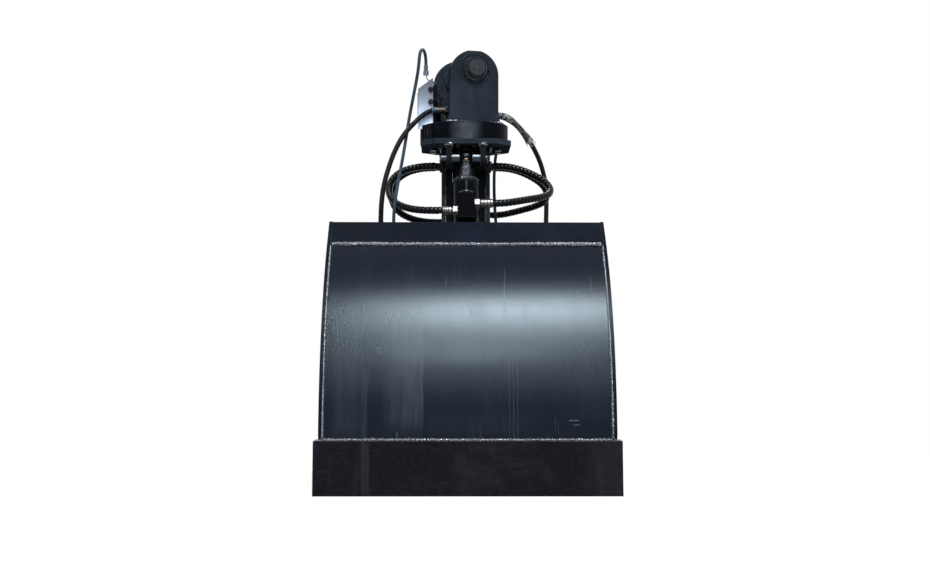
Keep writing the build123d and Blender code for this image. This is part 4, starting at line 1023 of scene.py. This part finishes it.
class BUCKET_OT_finishes(bpy.types.Operator):
    """Make every finish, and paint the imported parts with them"""

    bl_idname = "bucket.finishes"
    bl_label = "Finishes"

    by_slot = {
        "black_paint": "Black_Enamel", "shell_paint": "Curved_Sheet_Enamel", "knife_paint": "Knife_Paint",
        "guard_paint": "Guard_Paint", "hose_rubber": "Hose_Rubber", "zinc_fittings": "Zinc_Plating",
        "chrome_rod": "Hard_Chrome", "piston_steel": "Machined_Steel", "pin_steel": "Ground_Steel",
        "bolt_steel": "Bolt_Oxide",
    }
    by_node = {
        "front_ear": "Head_Enamel", "rear_ear": "Head_Enamel", "pin_collars": "Collar_Highlight_Enamel",
        "slew_housing": "Disc_Enamel", "cylinder_pins": "Gloss_Enamel", "pin_spacers": "Gloss_Enamel",
        "flange_plate": "Head_Enamel", "suspension_pin": "Pin_Finish", "swivel_adapters": "Bolt_Oxide",
        "hose_end_fitting": "Sky_Sheen_Steel",
    }
    by_ending = {
        "_band": "Jaw_Enamel", "_side_plates": "Jaw_Enamel", "_beam": "Jaw_Enamel", "_arms": "Jaw_Enamel",
        "_lugs": "Jaw_Enamel", "_barrel": "Barrel_Enamel", "_port_block": "Block_Enamel",
    }

    def execute(self, context):
        settings = context.scene.bucket_paint
        paint = {name: tuple(getattr(settings, name)) for name in BucketPaint.__annotations__}
        self.enamels(paint)
        self.covers(paint)
        self.metals(paint)
        for name, base, rough in PLASTICS:
            plain_plastic(name, base, rough)
        self.paint_parts()
        return {"FINISHED"}

    def enamels(self, paint):
        """Paint of the plates, welds, housing, cylinders, pin, shells, knives and guard."""
        dust, black = paint["dust"], paint["black"]
        enamel("Black_Enamel", black, dust, 0.28, 0.55, 0.012, 0.35)
        enamel("Jaw_Enamel", paint["jaw"], dust, 0.28, 0.55, 0.008, 0.30)
        enamel("Matt_Enamel", tinted(black, 0.7), dust, 0.50, 0.55, 0.010, 0.30, 0.02)
        weld_enamel(tinted(black, 1.2), dust)
        enamel("Block_Enamel", tinted(black, 0.5), dust, 0.34, 0.25, 0.002, 0.3, 0.002)
        across_head = (cos(HEAD_YAW), sin(HEAD_YAW), 0)
        enamel("Head_Enamel", HEAD_COLOUR, dust, 0.26, 0.9, 0.022, 0.35, 0.05, across_head)
        # The pin collars' lighter paint and large edge share are a painted highlight on their rims.
        enamel("Collar_Highlight_Enamel", tinted(black, 2.6), dust, 0.20, 0.30, 0.004, 2.2, 0.10)
        enamel("Gloss_Enamel", tinted(black, 0.5), dust, 0.22, 0.35, 0.004, 0.3, 0.55)
        disc_enamel(DISC_COLOUR, dust)
        barrel_enamel(BARREL_COLOUR, dust)
        pin_finish(paint["steel"], PIN_END_COLOUR)
        shell_enamel(paint["shell"])
        knife_paint(paint["knife"])
        guard_paint(paint["guard"], dust)

    def covers(self, paint):
        """What is round the hoses."""
        rubber("Hose_Rubber", paint["rubber"], 0.34, 1500.0)
        rubber("Motor_Hose_Rubber", MOTOR_HOSE_COLOUR, 0.30, 2600.0)
        wrap_plastic(paint["wrap"])
        yarn(paint["sleeve"])

    def metals(self, paint):
        """Plated, ground and machined metals."""
        zinc, steel, brass = paint["zinc"], paint["steel"], paint["brass"]
        bare_metal("Zinc_Plating", zinc, 0.30, 260.0, (0.05, 0.05, 0.055, 1), 0.9)
        bare_metal("Dull_Zinc", tinted(zinc, 0.45), 0.36, 500.0, (0.10, 0.08, 0.06, 1), 0.5)
        bare_metal("Hard_Chrome", paint["chrome"], 0.12, 900.0, SOOT, 0.06, (0.2, 0.2, 1.0))
        bare_metal("Machined_Steel", steel, 0.32, 800.0, SOOT, 0.3)
        bare_metal("Ground_Steel", steel, 0.26, 700.0, SOOT, 0.35, (1.0, 0.2, 0.2))
        bare_metal("Bolt_Oxide", paint["bolt"], 0.40, 400.0, (0.10, 0.07, 0.05, 1), 0.35)
        bare_metal("Pale_Brass", PALE_BRASS_COLOUR, 0.42, 400.0, SOOT, 0.4)
        # Blue-grey metal of the hose end fitting, which is painted blue reflection.
        bare_metal("Sky_Sheen_Steel", SKY_SHEEN_COLOUR, 0.26, 400.0, SOOT, 0.3)
        bare_metal("Dull_Brass", tinted(brass, 0.55), 0.34, 500.0, SOOT, 0.5)
        bare_metal("Brass", brass, 0.50, 500.0, SOOT, 0.2)

    def paint_parts(self):
        """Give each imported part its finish, by its slot, its name or its name's ending."""
        slots = {part["node"]: part["material_slot"] for part in frame["record"]["subparts"]}
        for name, node in frame["nodes"].items():
            finish = self.by_node.get(name, self.by_slot[slots[name]])
            for ending, other in self.by_ending.items():
                if name.endswith(ending):
                    finish = other
            node.data.materials.clear()
            node.data.materials.append(finishes[finish])


class BUCKET_OT_loop_hoses(bpy.types.Operator):
    """The four cylinder hoses with their spiral guards"""

    bl_idname = "bucket.loop_hoses"
    bl_label = "Loop hoses"

    def execute(self, context):
        sizes = context.scene.bucket_hoses
        for side_name, side in SIDES.items():
            for hand, route in (("left", LEFT_LOOP), ("right", RIGHT_LOOP)):
                route = [(x, -side * y, z) for x, y, z in route]
                line = spline_line(route)
                name = f"{side_name}_{hand}"
                guard = spiral(line[2:-2], sizes.wrap_pitch, sizes.wrap_width)
                guard = guard.piece(f"{name}_spiral_guard", "Wrap_Plastic", "hose_rubber", radians(75))
                tube = Shape().tube(evenly(line, LOOP_STEP), LOOP_HOSE, 18)
                tube = tube.piece(f"{name}_hose_cover", "Hose_Rubber", "hose_rubber")
                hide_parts(f"{name}_hose")
                for piece in (tube, guard):
                    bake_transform(piece)
                on_spline(route)
        return {"FINISHED"}


def head_blend(piece):
    """Bake a piece's placement into its mesh."""
    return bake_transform(piece)


class BUCKET_OT_supply_hoses(bpy.types.Operator):
    """The two ribbed supply hoses, joined under the frame"""

    bl_idname = "bucket.supply_hoses"
    bl_label = "Supply hoses"

    def execute(self, context):
        sizes = context.scene.bucket_hoses
        for hand, route in (("left", LEFT_SUPPLY), ("right", RIGHT_SUPPLY)):
            line = spline_line(route)
            tube = self.ribbed(line, sizes.rib_pitch)
            tube = tube.piece(f"{hand}_supply_cover", "Hose_Rubber", "hose_rubber", radians(60))
            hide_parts(f"{hand}_supply_hose")
            head_blend(tube)
            if hand == "right":
                sleeve = self.sleeve(line, sizes.strands)
                on_spline(route)
            else:
                on_spline(route)
        return {"FINISHED"}

    def ribbed(self, line, pitch):
        """A hose cover with ribs round it."""
        def radius(distance):
            return SUPPLY_HOSE * (0.94 + 0.06 * sin(tau * distance / pitch))

        return Shape().tube(evenly(line, pitch / 6), radius, 14)

    def sleeve(self, line, strands):
        """A braided sleeve over the upper end of the right hose, frayed where it ends."""
        def flare(share):
            return 0.0094 + 0.0012 * sin(9 * share) + 0.0050 * max(0, share - 0.80) / 0.20

        shape = Shape()
        made = guides(evenly(line, BRAID_STEP)[BRAID_START:BRAID_END])
        count = len(made)
        chance = Random(11)
        rings = []
        for i in range(count - 10):
            point, _, side, up = made[i]
            radius = flare(i / (count - 1)) - 0.0007
            turns = [tau * k / 20 for k in range(20)]
            rings.append([point + (side * cos(t) + up * sin(t)) * radius for t in turns])
        shape.loft(rings)
        for way in (-1, 1):
            for k in range(strands):
                last = count - chance.randrange(0, 9)
                rings = []
                for i in range(last):
                    point, along, side, up = made[i]
                    weave = 0.0004 * way * (1 if ((i // 4) + k) % 2 else -1)
                    turn = tau * k / strands + way * i * 0.105
                    out = side * cos(turn) + up * sin(turn)
                    wide = (up * cos(turn) - side * sin(turn)) * 0.0012 + along * 0.0005 * way
                    base = point + out * (flare(i / (count - 1)) + weave)
                    rings.append([base - wide, base + out * 0.0005, base + wide, base - out * 0.0004])
                shape.loft(rings)
        sleeve = shape.piece("right_supply_sleeve", "Sleeve_Yarn", sharp=radians(70))
        return head_blend(sleeve)


class BUCKET_OT_motor_hose(bpy.types.Operator):
    """The thin motor hose, tied up beside the head"""

    bl_idname = "bucket.motor_hose"
    bl_label = "Motor hose"

    def execute(self, context):
        line = spline_line(MOTOR_LINE)
        tube = Shape().tube(evenly(line, MOTOR_STEP), MOTOR_HOSE, 14)
        tube = tube.piece("motor_hose_cover", "Motor_Hose_Rubber", "hose_rubber")
        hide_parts("motor_hose")
        head_blend(tube)
        on_spline(MOTOR_LINE)
        return {"FINISHED"}


# Where the plates stand across the jaw: faces of the arms and lugs, and the knife's bare ends
ARM_FACES = (0.0743, 0.0903)
LUG_FACES = (0.0238, 0.0398)
KNIFE_END = (0.388, 0.4110)
SEAM_INSET = 0.002
RIM_STEPS = 40


class BUCKET_OT_jaw_welds(bpy.types.Operator):
    """Weld beads along the seams of both jaws"""

    bl_idname = "bucket.jaw_welds"
    bl_label = "Jaw welds"

    def execute(self, context):
        welds = context.scene.bucket_welds
        for seed, (name, side) in enumerate(SIDES.items()):
            knife_line = self.knife_line()
            self.long_seams(name, side, knife_line, welds, seed)
            self.rims(name, side, knife_line, welds, seed)
            self.seats(name, side, knife_line, welds, seed)
        return {"FINISHED"}

    def knife_line(self):
        """Where the shell meets the top of the knife plate, in the side view."""
        shell = shell_point(KNIFE_SLOPE, RIM)
        line = Vector((shell.x, KNIFE_HEIGHT + 0.001))
        line.x += (shell.y - KNIFE_HEIGHT) / tan(radians(KNIFE_SLOPE)) + 0.003
        return line

    def across(self, side, spot):
        reach = SHELL_HALF - SEAM_INSET
        return straight(on_jaw(side, -reach, spot), on_jaw(side, reach, spot))

    def long_seams(self, name, side, knife_line, welds, seed):
        """Under the lip band and over the knife."""
        beads = Shape()
        down, inward = jaw_heading(BAND_SLOPE), jaw_inward(BAND_SLOPE)
        under_band = JAW_TOP + down * (BAND_LOW + 0.001) + inward * 0.0035
        for k, spot in enumerate((under_band, knife_line)):
            ripple_bead(beads, self.across(side, spot), welds.wide, welds.ripple, 20 * seed + k)
        weld_piece(beads, f"{name}_long_welds", f"{name}_jaw")

    def rims(self, name, side, knife_line, welds, seed):
        """Along the shell's curved edges."""
        beads = Shape()
        start = BAND_SLOPE + 0.8
        slopes = [start + (KNIFE_SLOPE - BAND_SLOPE - 0.8) * k / RIM_STEPS for k in range(RIM_STEPS + 1)]
        for hand in (-1, 1):
            x = hand * (SHELL_HALF - 0.0008)
            line = [on_jaw(side, x, shell_point(s, RIM - 0.0006)) for s in slopes]
            line.append(on_jaw(side, x, knife_line + Vector((-0.0005, 0.002))))
            ripple_bead(beads, line, welds.narrow, welds.ripple, 40 + 2 * seed + hand)
        weld_piece(beads, f"{name}_rim_welds", f"{name}_jaw")

    def seats(self, name, side, knife_line, welds, seed):
        """Round the feet of the beam, arms and lugs, and at the knife's ends."""
        beads = Shape()
        outer, inner = beam_line(0.0), beam_line(BEAM_SHEET)
        for k, spot in enumerate((outer[0], outer[2])):
            line = self.across(side, spot)
            ripple_bead(beads, line, welds.narrow, welds.ripple * 1.6, 60 + 4 * seed + k)
        drop, rise = (inner[2] - inner[1]).normalized(), (inner[0] - inner[1]).normalized()
        lug = [inner[1] + rise * 0.010, inner[1], inner[1] + drop * 0.044]
        knife_end = Vector((knife_line.x + 0.001, KNIFE_HEIGHT + 0.0006))
        for hand in (-1, 1):
            for faces, path, first in ((ARM_FACES, inner, 70), (LUG_FACES, lug, 80)):
                for x in faces:
                    line = [on_jaw(side, hand * x, spot) for spot in path]
                    ripple_bead(beads, line, welds.narrow, welds.ripple * 1.3, first + seed)
            line = [on_jaw(side, hand * x, knife_end) for x in KNIFE_END]
            ripple_bead(beads, line, welds.narrow, welds.ripple, 90 + seed)
        weld_piece(beads, f"{name}_seat_welds", f"{name}_jaw")


def ring_line(place, radius, steps=48):
    """A closed round line about a frame's Z."""
    return [place @ Vector((radius * cos(tau * k / steps), radius * sin(tau * k / steps), 0))
            for k in range(steps + 1)]


def box_line(x, y, wide, deep, z):
    """A closed rectangle of points at a height: its middle, and its half width and depth."""
    corners = [(-wide, -deep), (wide, -deep), (wide, deep), (-wide, deep), (-wide, -deep)]
    return [Vector((x + a, y + b, z)) for a, b in corners]


# Seams: the column web's lowest and highest, half sizes of the plates that they run round
WEB_SEAM = (0.480, 0.898)
CLEVIS_HALF = (0.008, 0.036)
COLUMN_HALF = (0.006, 0.058)
EAR_HALF = (0.083, 0.009)
TOP_BLOCK_HALF = (0.062, 0.030)
COLLAR_RADIUS = 0.0463


class BUCKET_OT_frame_welds(bpy.types.Operator):
    """Weld beads of the clevis, the column and the slewing head"""

    bl_idname = "bucket.frame_welds"
    bl_label = "Frame welds"

    def execute(self, context):
        welds = context.scene.bucket_welds
        beads = Shape()
        seed = 100
        for hand in (-1, 1):
            for side in (-1, 1):
                line = box_line(hand * CLEVIS_X, side * TOP_OUT, *CLEVIS_HALF, FLANGE_LOW)
                ripple_bead(beads, line, 0.0062, welds.ripple, seed)
                spot = Vector((hand * COLUMN_INSIDE, side * COLUMN_WEB_HALF, 0))
                line = [spot + Vector((0, 0, z)) for z in WEB_SEAM]
                ripple_bead(beads, line, welds.narrow, welds.ripple * 1.6, seed + 1)
                seed += 2
            line = box_line(hand * COLUMN_X, 0, *COLUMN_HALF, FLANGE_LOW)
            ripple_bead(beads, line, 0.0050, welds.ripple, seed)
        weld_piece(beads, "frame_welds", "frame")
        beads, collars = Shape(), Shape()
        turn = head_turn()
        for side in (-1, 1):
            line = box_line(0, side * EAR_OUT, *EAR_HALF, HOUSING_TOP + 0.0007)
            ripple_bead(beads, [turn @ p for p in line], 0.0044, welds.ripple, seed + side)
            ring = facing((0, side * (EAR_OUT + 0.0093), PIN_HEIGHT), (0, side, 0))
            line = [turn @ p for p in ring_line(ring, COLLAR_RADIUS)]
            ripple_bead(collars, line, 0.0020, welds.ripple, seed + 4)
        line = box_line(0, 0, *TOP_BLOCK_HALF, HOUSING_TOP + 0.0005)
        ripple_bead(beads, [turn @ p for p in line], 0.0036, welds.ripple, seed + 8)
        weld_piece(beads, "head_welds", "slew_head")
        weld_piece(collars, "collar_welds", "slew_head", "Head_Enamel")
        return {"FINISHED"}


def raised(profile, height):
    """The same profile, moved up its axis."""
    return [(radius, height + rise) for radius, rise in profile]


class BUCKET_OT_fittings(bpy.types.Operator):
    """Grease nipples, dark rings of painted shade on the port fittings, pin bolts, wipers, the tie wire and
    the branch fitting
    """

    bl_idname = "bucket.fittings"
    bl_label = "Small fittings"

    def execute(self, context):
        for name, side in SIDES.items():
            self.cylinder(name, side)
            self.jaw(name, side)
        self.frame_parts()
        self.head_parts()
        self.hose_ends()
        self.tie_wire()
        self.branch_fitting()
        return {"FINISHED"}

    def nipple(self, shape, place):
        """A grease nipple: hexagon, waist and ball."""
        shape.hexagon(place, 0.0062 * NIPPLE_SCALE, 0.0040 * NIPPLE_SCALE, HEXAGON_EASE)
        shape.turned(place, [(r * NIPPLE_SCALE, h * NIPPLE_SCALE) for r, h in NIPPLE], 16)

    def cylinder(self, name, side):
        """Small pieces of one barrel, from its eye down to its gland."""
        place = cylinder_place(side)
        body = f"{name}_barrel"
        self.eye_nipple(name, side, body)
        self.ports(name, side, place, body)
        end = BARREL_END + GLAND_LENGTH
        wiper = Shape()
        wiper.turned(place @ Matrix.Translation((0, 0, end)), WIPER, 40)
        fitted(wiper, f"{name}_wiper", "Black_Seal", body)
        studs = Shape()
        for k in range(4):
            turn = tau * (k + 0.5) / 4
            spot = Vector((STUD_CIRCLE * cos(turn), STUD_CIRCLE * sin(turn), end - 0.0004))
            studs.turned(facing(place @ spot, place.to_3x3() @ Vector((0, 0, 1))), GLAND_STUD, 16)
        fitted(studs, f"{name}_gland_studs", "Bolt_Oxide", body)

    def eye_nipple(self, name, side, body):
        """The nipple on the eye's outer side, leaning down."""
        out = Vector((0, side * cos(EYE_LEAN), -sin(EYE_LEAN)))
        spot = facing(Vector((0, side * TOP_OUT, TOP_Z)) + out * EYE_RADIUS, out)
        seat, ball = Shape(), Shape()
        seat.turned(spot, EYE_SEAT, 6)
        fitted(seat, f"{name}_eye_nipple_seat", "Pale_Brass", body)
        ball.turned(spot, EYE_BALL, 18)
        fitted(ball, f"{name}_eye_nipple", "Black_Seal", body)

    def ports(self, name, side, place, body):
        """Dark rings that paint the shade in the two port fittings' grooves and mouths, the left one's cap,
        and the plug under them.
        """
        rings, cap, plug = Shape(), Shape(), Shape()
        for along, end, hand in PORTS:
            line = facing(place @ Vector((hand * PORT_FOOT, -side * PORT_OUT, along)), (hand, 0, 0))
            reach = end - PORT_FOOT
            # Black rings on the zinc fittings, which are painted shade in their grooves.
            for k in range(3):
                rings.turned(line, raised(PORT_RING, 0.0255 + k * (reach - 0.0285) / 2.4), 28)
            rings.turned(line, PORT_WAIST, 28)
            rings.turned(line, raised(PORT_MOUTH, reach - 0.001), 28)
            if hand < 0:
                cap.turned(line, PORT_CAP, 28)
        spot = place @ Matrix.Translation((0, -side * PLUG_OUT, PLUG_ALONG))
        plug.turned(spot, PLUG_FACE, 32)
        plug.turned(spot, PLUG_RIM, 40)
        fitted(plug, f"{name}_port_plug", "Gloss_Enamel", body, sharp=radians(30))
        fitted(rings, f"{name}_port_groove_shade", "Black_Seal", body, sharp=radians(30))
        fitted(cap, f"{name}_port_cap", "Red_Cap", body, sharp=radians(30))

    def jaw(self, name, side):
        """Nipples at the ends of the lug pins."""
        parts = Shape()
        for hand in (-1, 1):
            self.nipple(parts, facing((hand * LUG_PIN_END, side * LUG_OUT, LUG_Z), (hand, 0, 0)))
        fitted(parts, f"{name}_rod_pin_nipples", "Dull_Brass", f"{name}_jaw")

    def frame_parts(self):
        """Bosses, brass rings for the golden arc seen above the cylinders' eyes and plugs of the oil swivel,
        and the bolts in the cylinder pins' ends.
        """
        bosses, golden_arcs = Shape(), Shape()
        for side in (-1, 1):
            place = facing((0, side * SWIVEL_FACE, SWIVEL_Z), (0, side, 0))
            bosses.turned(place, BOSS, 48)
            golden_arcs.turned(place, GOLDEN_ARC_RING, 56)
        fitted(bosses, "swivel_bosses", "Matt_Enamel", "frame")
        fitted(golden_arcs, "swivel_golden_arc_rings", "Brass", "frame")
        plugs = Shape()
        for x, y, radius in SWIVEL_PLUGS:
            self.socket_plug(plugs, facing((x, y, SWIVEL_LOW), (0, 0, -1)), radius)
        fitted(plugs, "swivel_plugs", "Dull_Zinc", "frame")
        bolts = Shape()
        for side in (-1, 1):
            for x, hand in PIN_ENDS:
                for z in (-PIN_BOLT_RISE, PIN_BOLT_RISE):
                    spot = facing((x - hand * 0.0003, side * TOP_OUT, TOP_Z + z), (hand, 0, 0))
                    bolts.turned(spot, PIN_BOLT, 20)
        fitted(bolts, "pin_end_bolts", "Dull_Zinc", "frame")

    def socket_plug(self, shape, place, radius):
        """A round plug with a hollow in its face."""
        top = PLUG_HEIGHT
        profile = [
            (radius, 0), (radius, top - 0.0008), (radius - 0.0008, top), (radius * 0.55, top),
            (radius * 0.50, top - 0.0030), (0.0003, top - 0.0032),
        ]
        shape.turned(place, profile, 24)

    def head_parts(self):
        """Plugs of the top block, the housing's nipple and the pin's centre marks."""
        turn = head_turn()
        plugs = Shape()
        for x, z, radius in TOP_PLUGS:
            for way in (-1, 1):
                self.socket_plug(plugs, turn @ facing((x, way * TOP_BLOCK_FACE, z), (0, way, 0)), radius)
        fitted(plugs, "top_block_plugs", "Dull_Zinc", "slew_head")
        nipples = Shape()
        self.nipple(nipples, turn @ facing(HOUSING_NIPPLE, (0, 1, 0)))
        fitted(nipples, "housing_nipple", "Dull_Brass", "slew_head")
        marks = Shape()
        for y, way in PIN_FACES:
            marks.turned(facing((0, y - way * 0.0002, PIN_HEIGHT), (0, way, 0)), CENTRE_MARK, 20)
        fitted(marks.transformed(turn), "pin_centre_marks", "Dull_Zinc", "suspension_pin")

    def hose_ends(self):
        """The left supply hose's band, and both supply hoses' ferrules."""
        band = Shape()
        band.turned(self.hose_start(LEFT_SUPPLY), HOSE_BAND, 24)
        fitted(band, "left_supply_band", "Blue_Cap", "slew_head", sharp=radians(30))
        profile = list(FERRULE_START)
        for k in range(4):
            profile += raised(FERRULE_GROOVE, 0.002 + k * FERRULE_LENGTH / 4)
        profile += raised(FERRULE_END, FERRULE_LENGTH)
        ferrules = Shape()
        for route in (LEFT_SUPPLY, RIGHT_SUPPLY):
            ferrules.turned(self.hose_start(route), profile, 24)
        fitted(ferrules, "supply_ferrules", "Zinc_Plating", "slew_head", sharp=radians(30))

    def hose_start(self, route):
        return facing(route[0], Vector(route[1]) - Vector(route[0]))

    def tie_wire(self):
        """The wire that holds the loose end of the motor hose, its clip and its eye."""
        wire, clip = Shape(), Shape()
        low = Vector(MOTOR_LINE[-1]) + Vector((0, 0, -0.030))
        wire.tube(spline_line([low + Vector(bend) for bend in WIRE_BENDS]), WIRE, 8)
        clip.hexagon(facing(low + Vector(CLIP_PLACE), (1, 0.3, -0.3)), 0.0042, 0.0110, 0.0008)
        fitted(clip, "tie_clip", "Zinc_Plating", "slew_head")
        loop = facing(low + Vector(WIRE_BENDS[-1]), (0.4, -1, 0.2))
        wire.tube(ring_line(loop, 0.0050, 20), WIRE, 8)
        fitted(wire, "tie_wire", "Bolt_Oxide", "slew_head")

    def branch_fitting(self):
        """The forked fitting above the left supply hose."""
        branch = Shape()
        stem = Vector(LEFT_SUPPLY[0]) + Vector((-0.004, -0.004, 0.008))
        fork = stem + Vector((0.002, -0.001, 0.016))
        branch.tube(straight(stem, fork), 0.0042, 14)
        tips = Vector((-0.0075, 0, 0.0125)), Vector((0.0085, 0, 0.0125))
        for tip in tips:
            branch.tube(straight(fork, fork + tip), 0.0040, 14)
        for tip in tips:
            branch.hexagon(facing(fork + tip * 0.75, tip), 0.0060, 0.0060, HEXAGON_EASE)
        fitted(branch, "branch_fitting", "Bolt_Oxide", "slew_head")


STEPS = (
    "studio", "finishes", "loop_hoses", "supply_hoses", "motor_hose", "jaw_welds", "frame_welds", "fittings",
)


class BUCKET_PT_panel(bpy.types.Panel):
    """Lists the steps and their settings"""

    bl_idname = "BUCKET_PT_panel"
    bl_label = "Clamshell Bucket"
    bl_space_type = "VIEW_3D"
    bl_region_type = "UI"
    bl_category = "Bucket"

    def draw(self, context):
        for group in ("bucket_paint", "bucket_hoses", "bucket_welds", "bucket_studio"):
            settings = getattr(context.scene, group)
            box = self.layout.box()
            for name in settings.__annotations__:
                box.prop(settings, name)
        for step in STEPS:
            self.layout.operator(f"bucket.{step}")


GROUPS = {
    "bucket_paint": BucketPaint, "bucket_hoses": BucketHoses,
    "bucket_welds": BucketWelds, "bucket_studio": BucketStudio,
}
CLASSES = (
    *GROUPS.values(), BUCKET_OT_studio, BUCKET_OT_finishes, BUCKET_OT_loop_hoses, BUCKET_OT_supply_hoses,
    BUCKET_OT_motor_hose, BUCKET_OT_jaw_welds, BUCKET_OT_frame_welds, BUCKET_OT_fittings, BUCKET_PT_panel,
)


def register():
    for cls in CLASSES:
        bpy.utils.register_class(cls)
    for name, group in GROUPS.items():
        setattr(bpy.types.Scene, name, PointerProperty(type=group))


def unregister():
    for name in GROUPS:
        delattr(bpy.types.Scene, name)
    for cls in reversed(CLASSES):
        bpy.utils.unregister_class(cls)


def main():
    register()
    for step in STEPS:
        getattr(bpy.ops.bucket, step)()


if __name__ == "__main__":
    main()
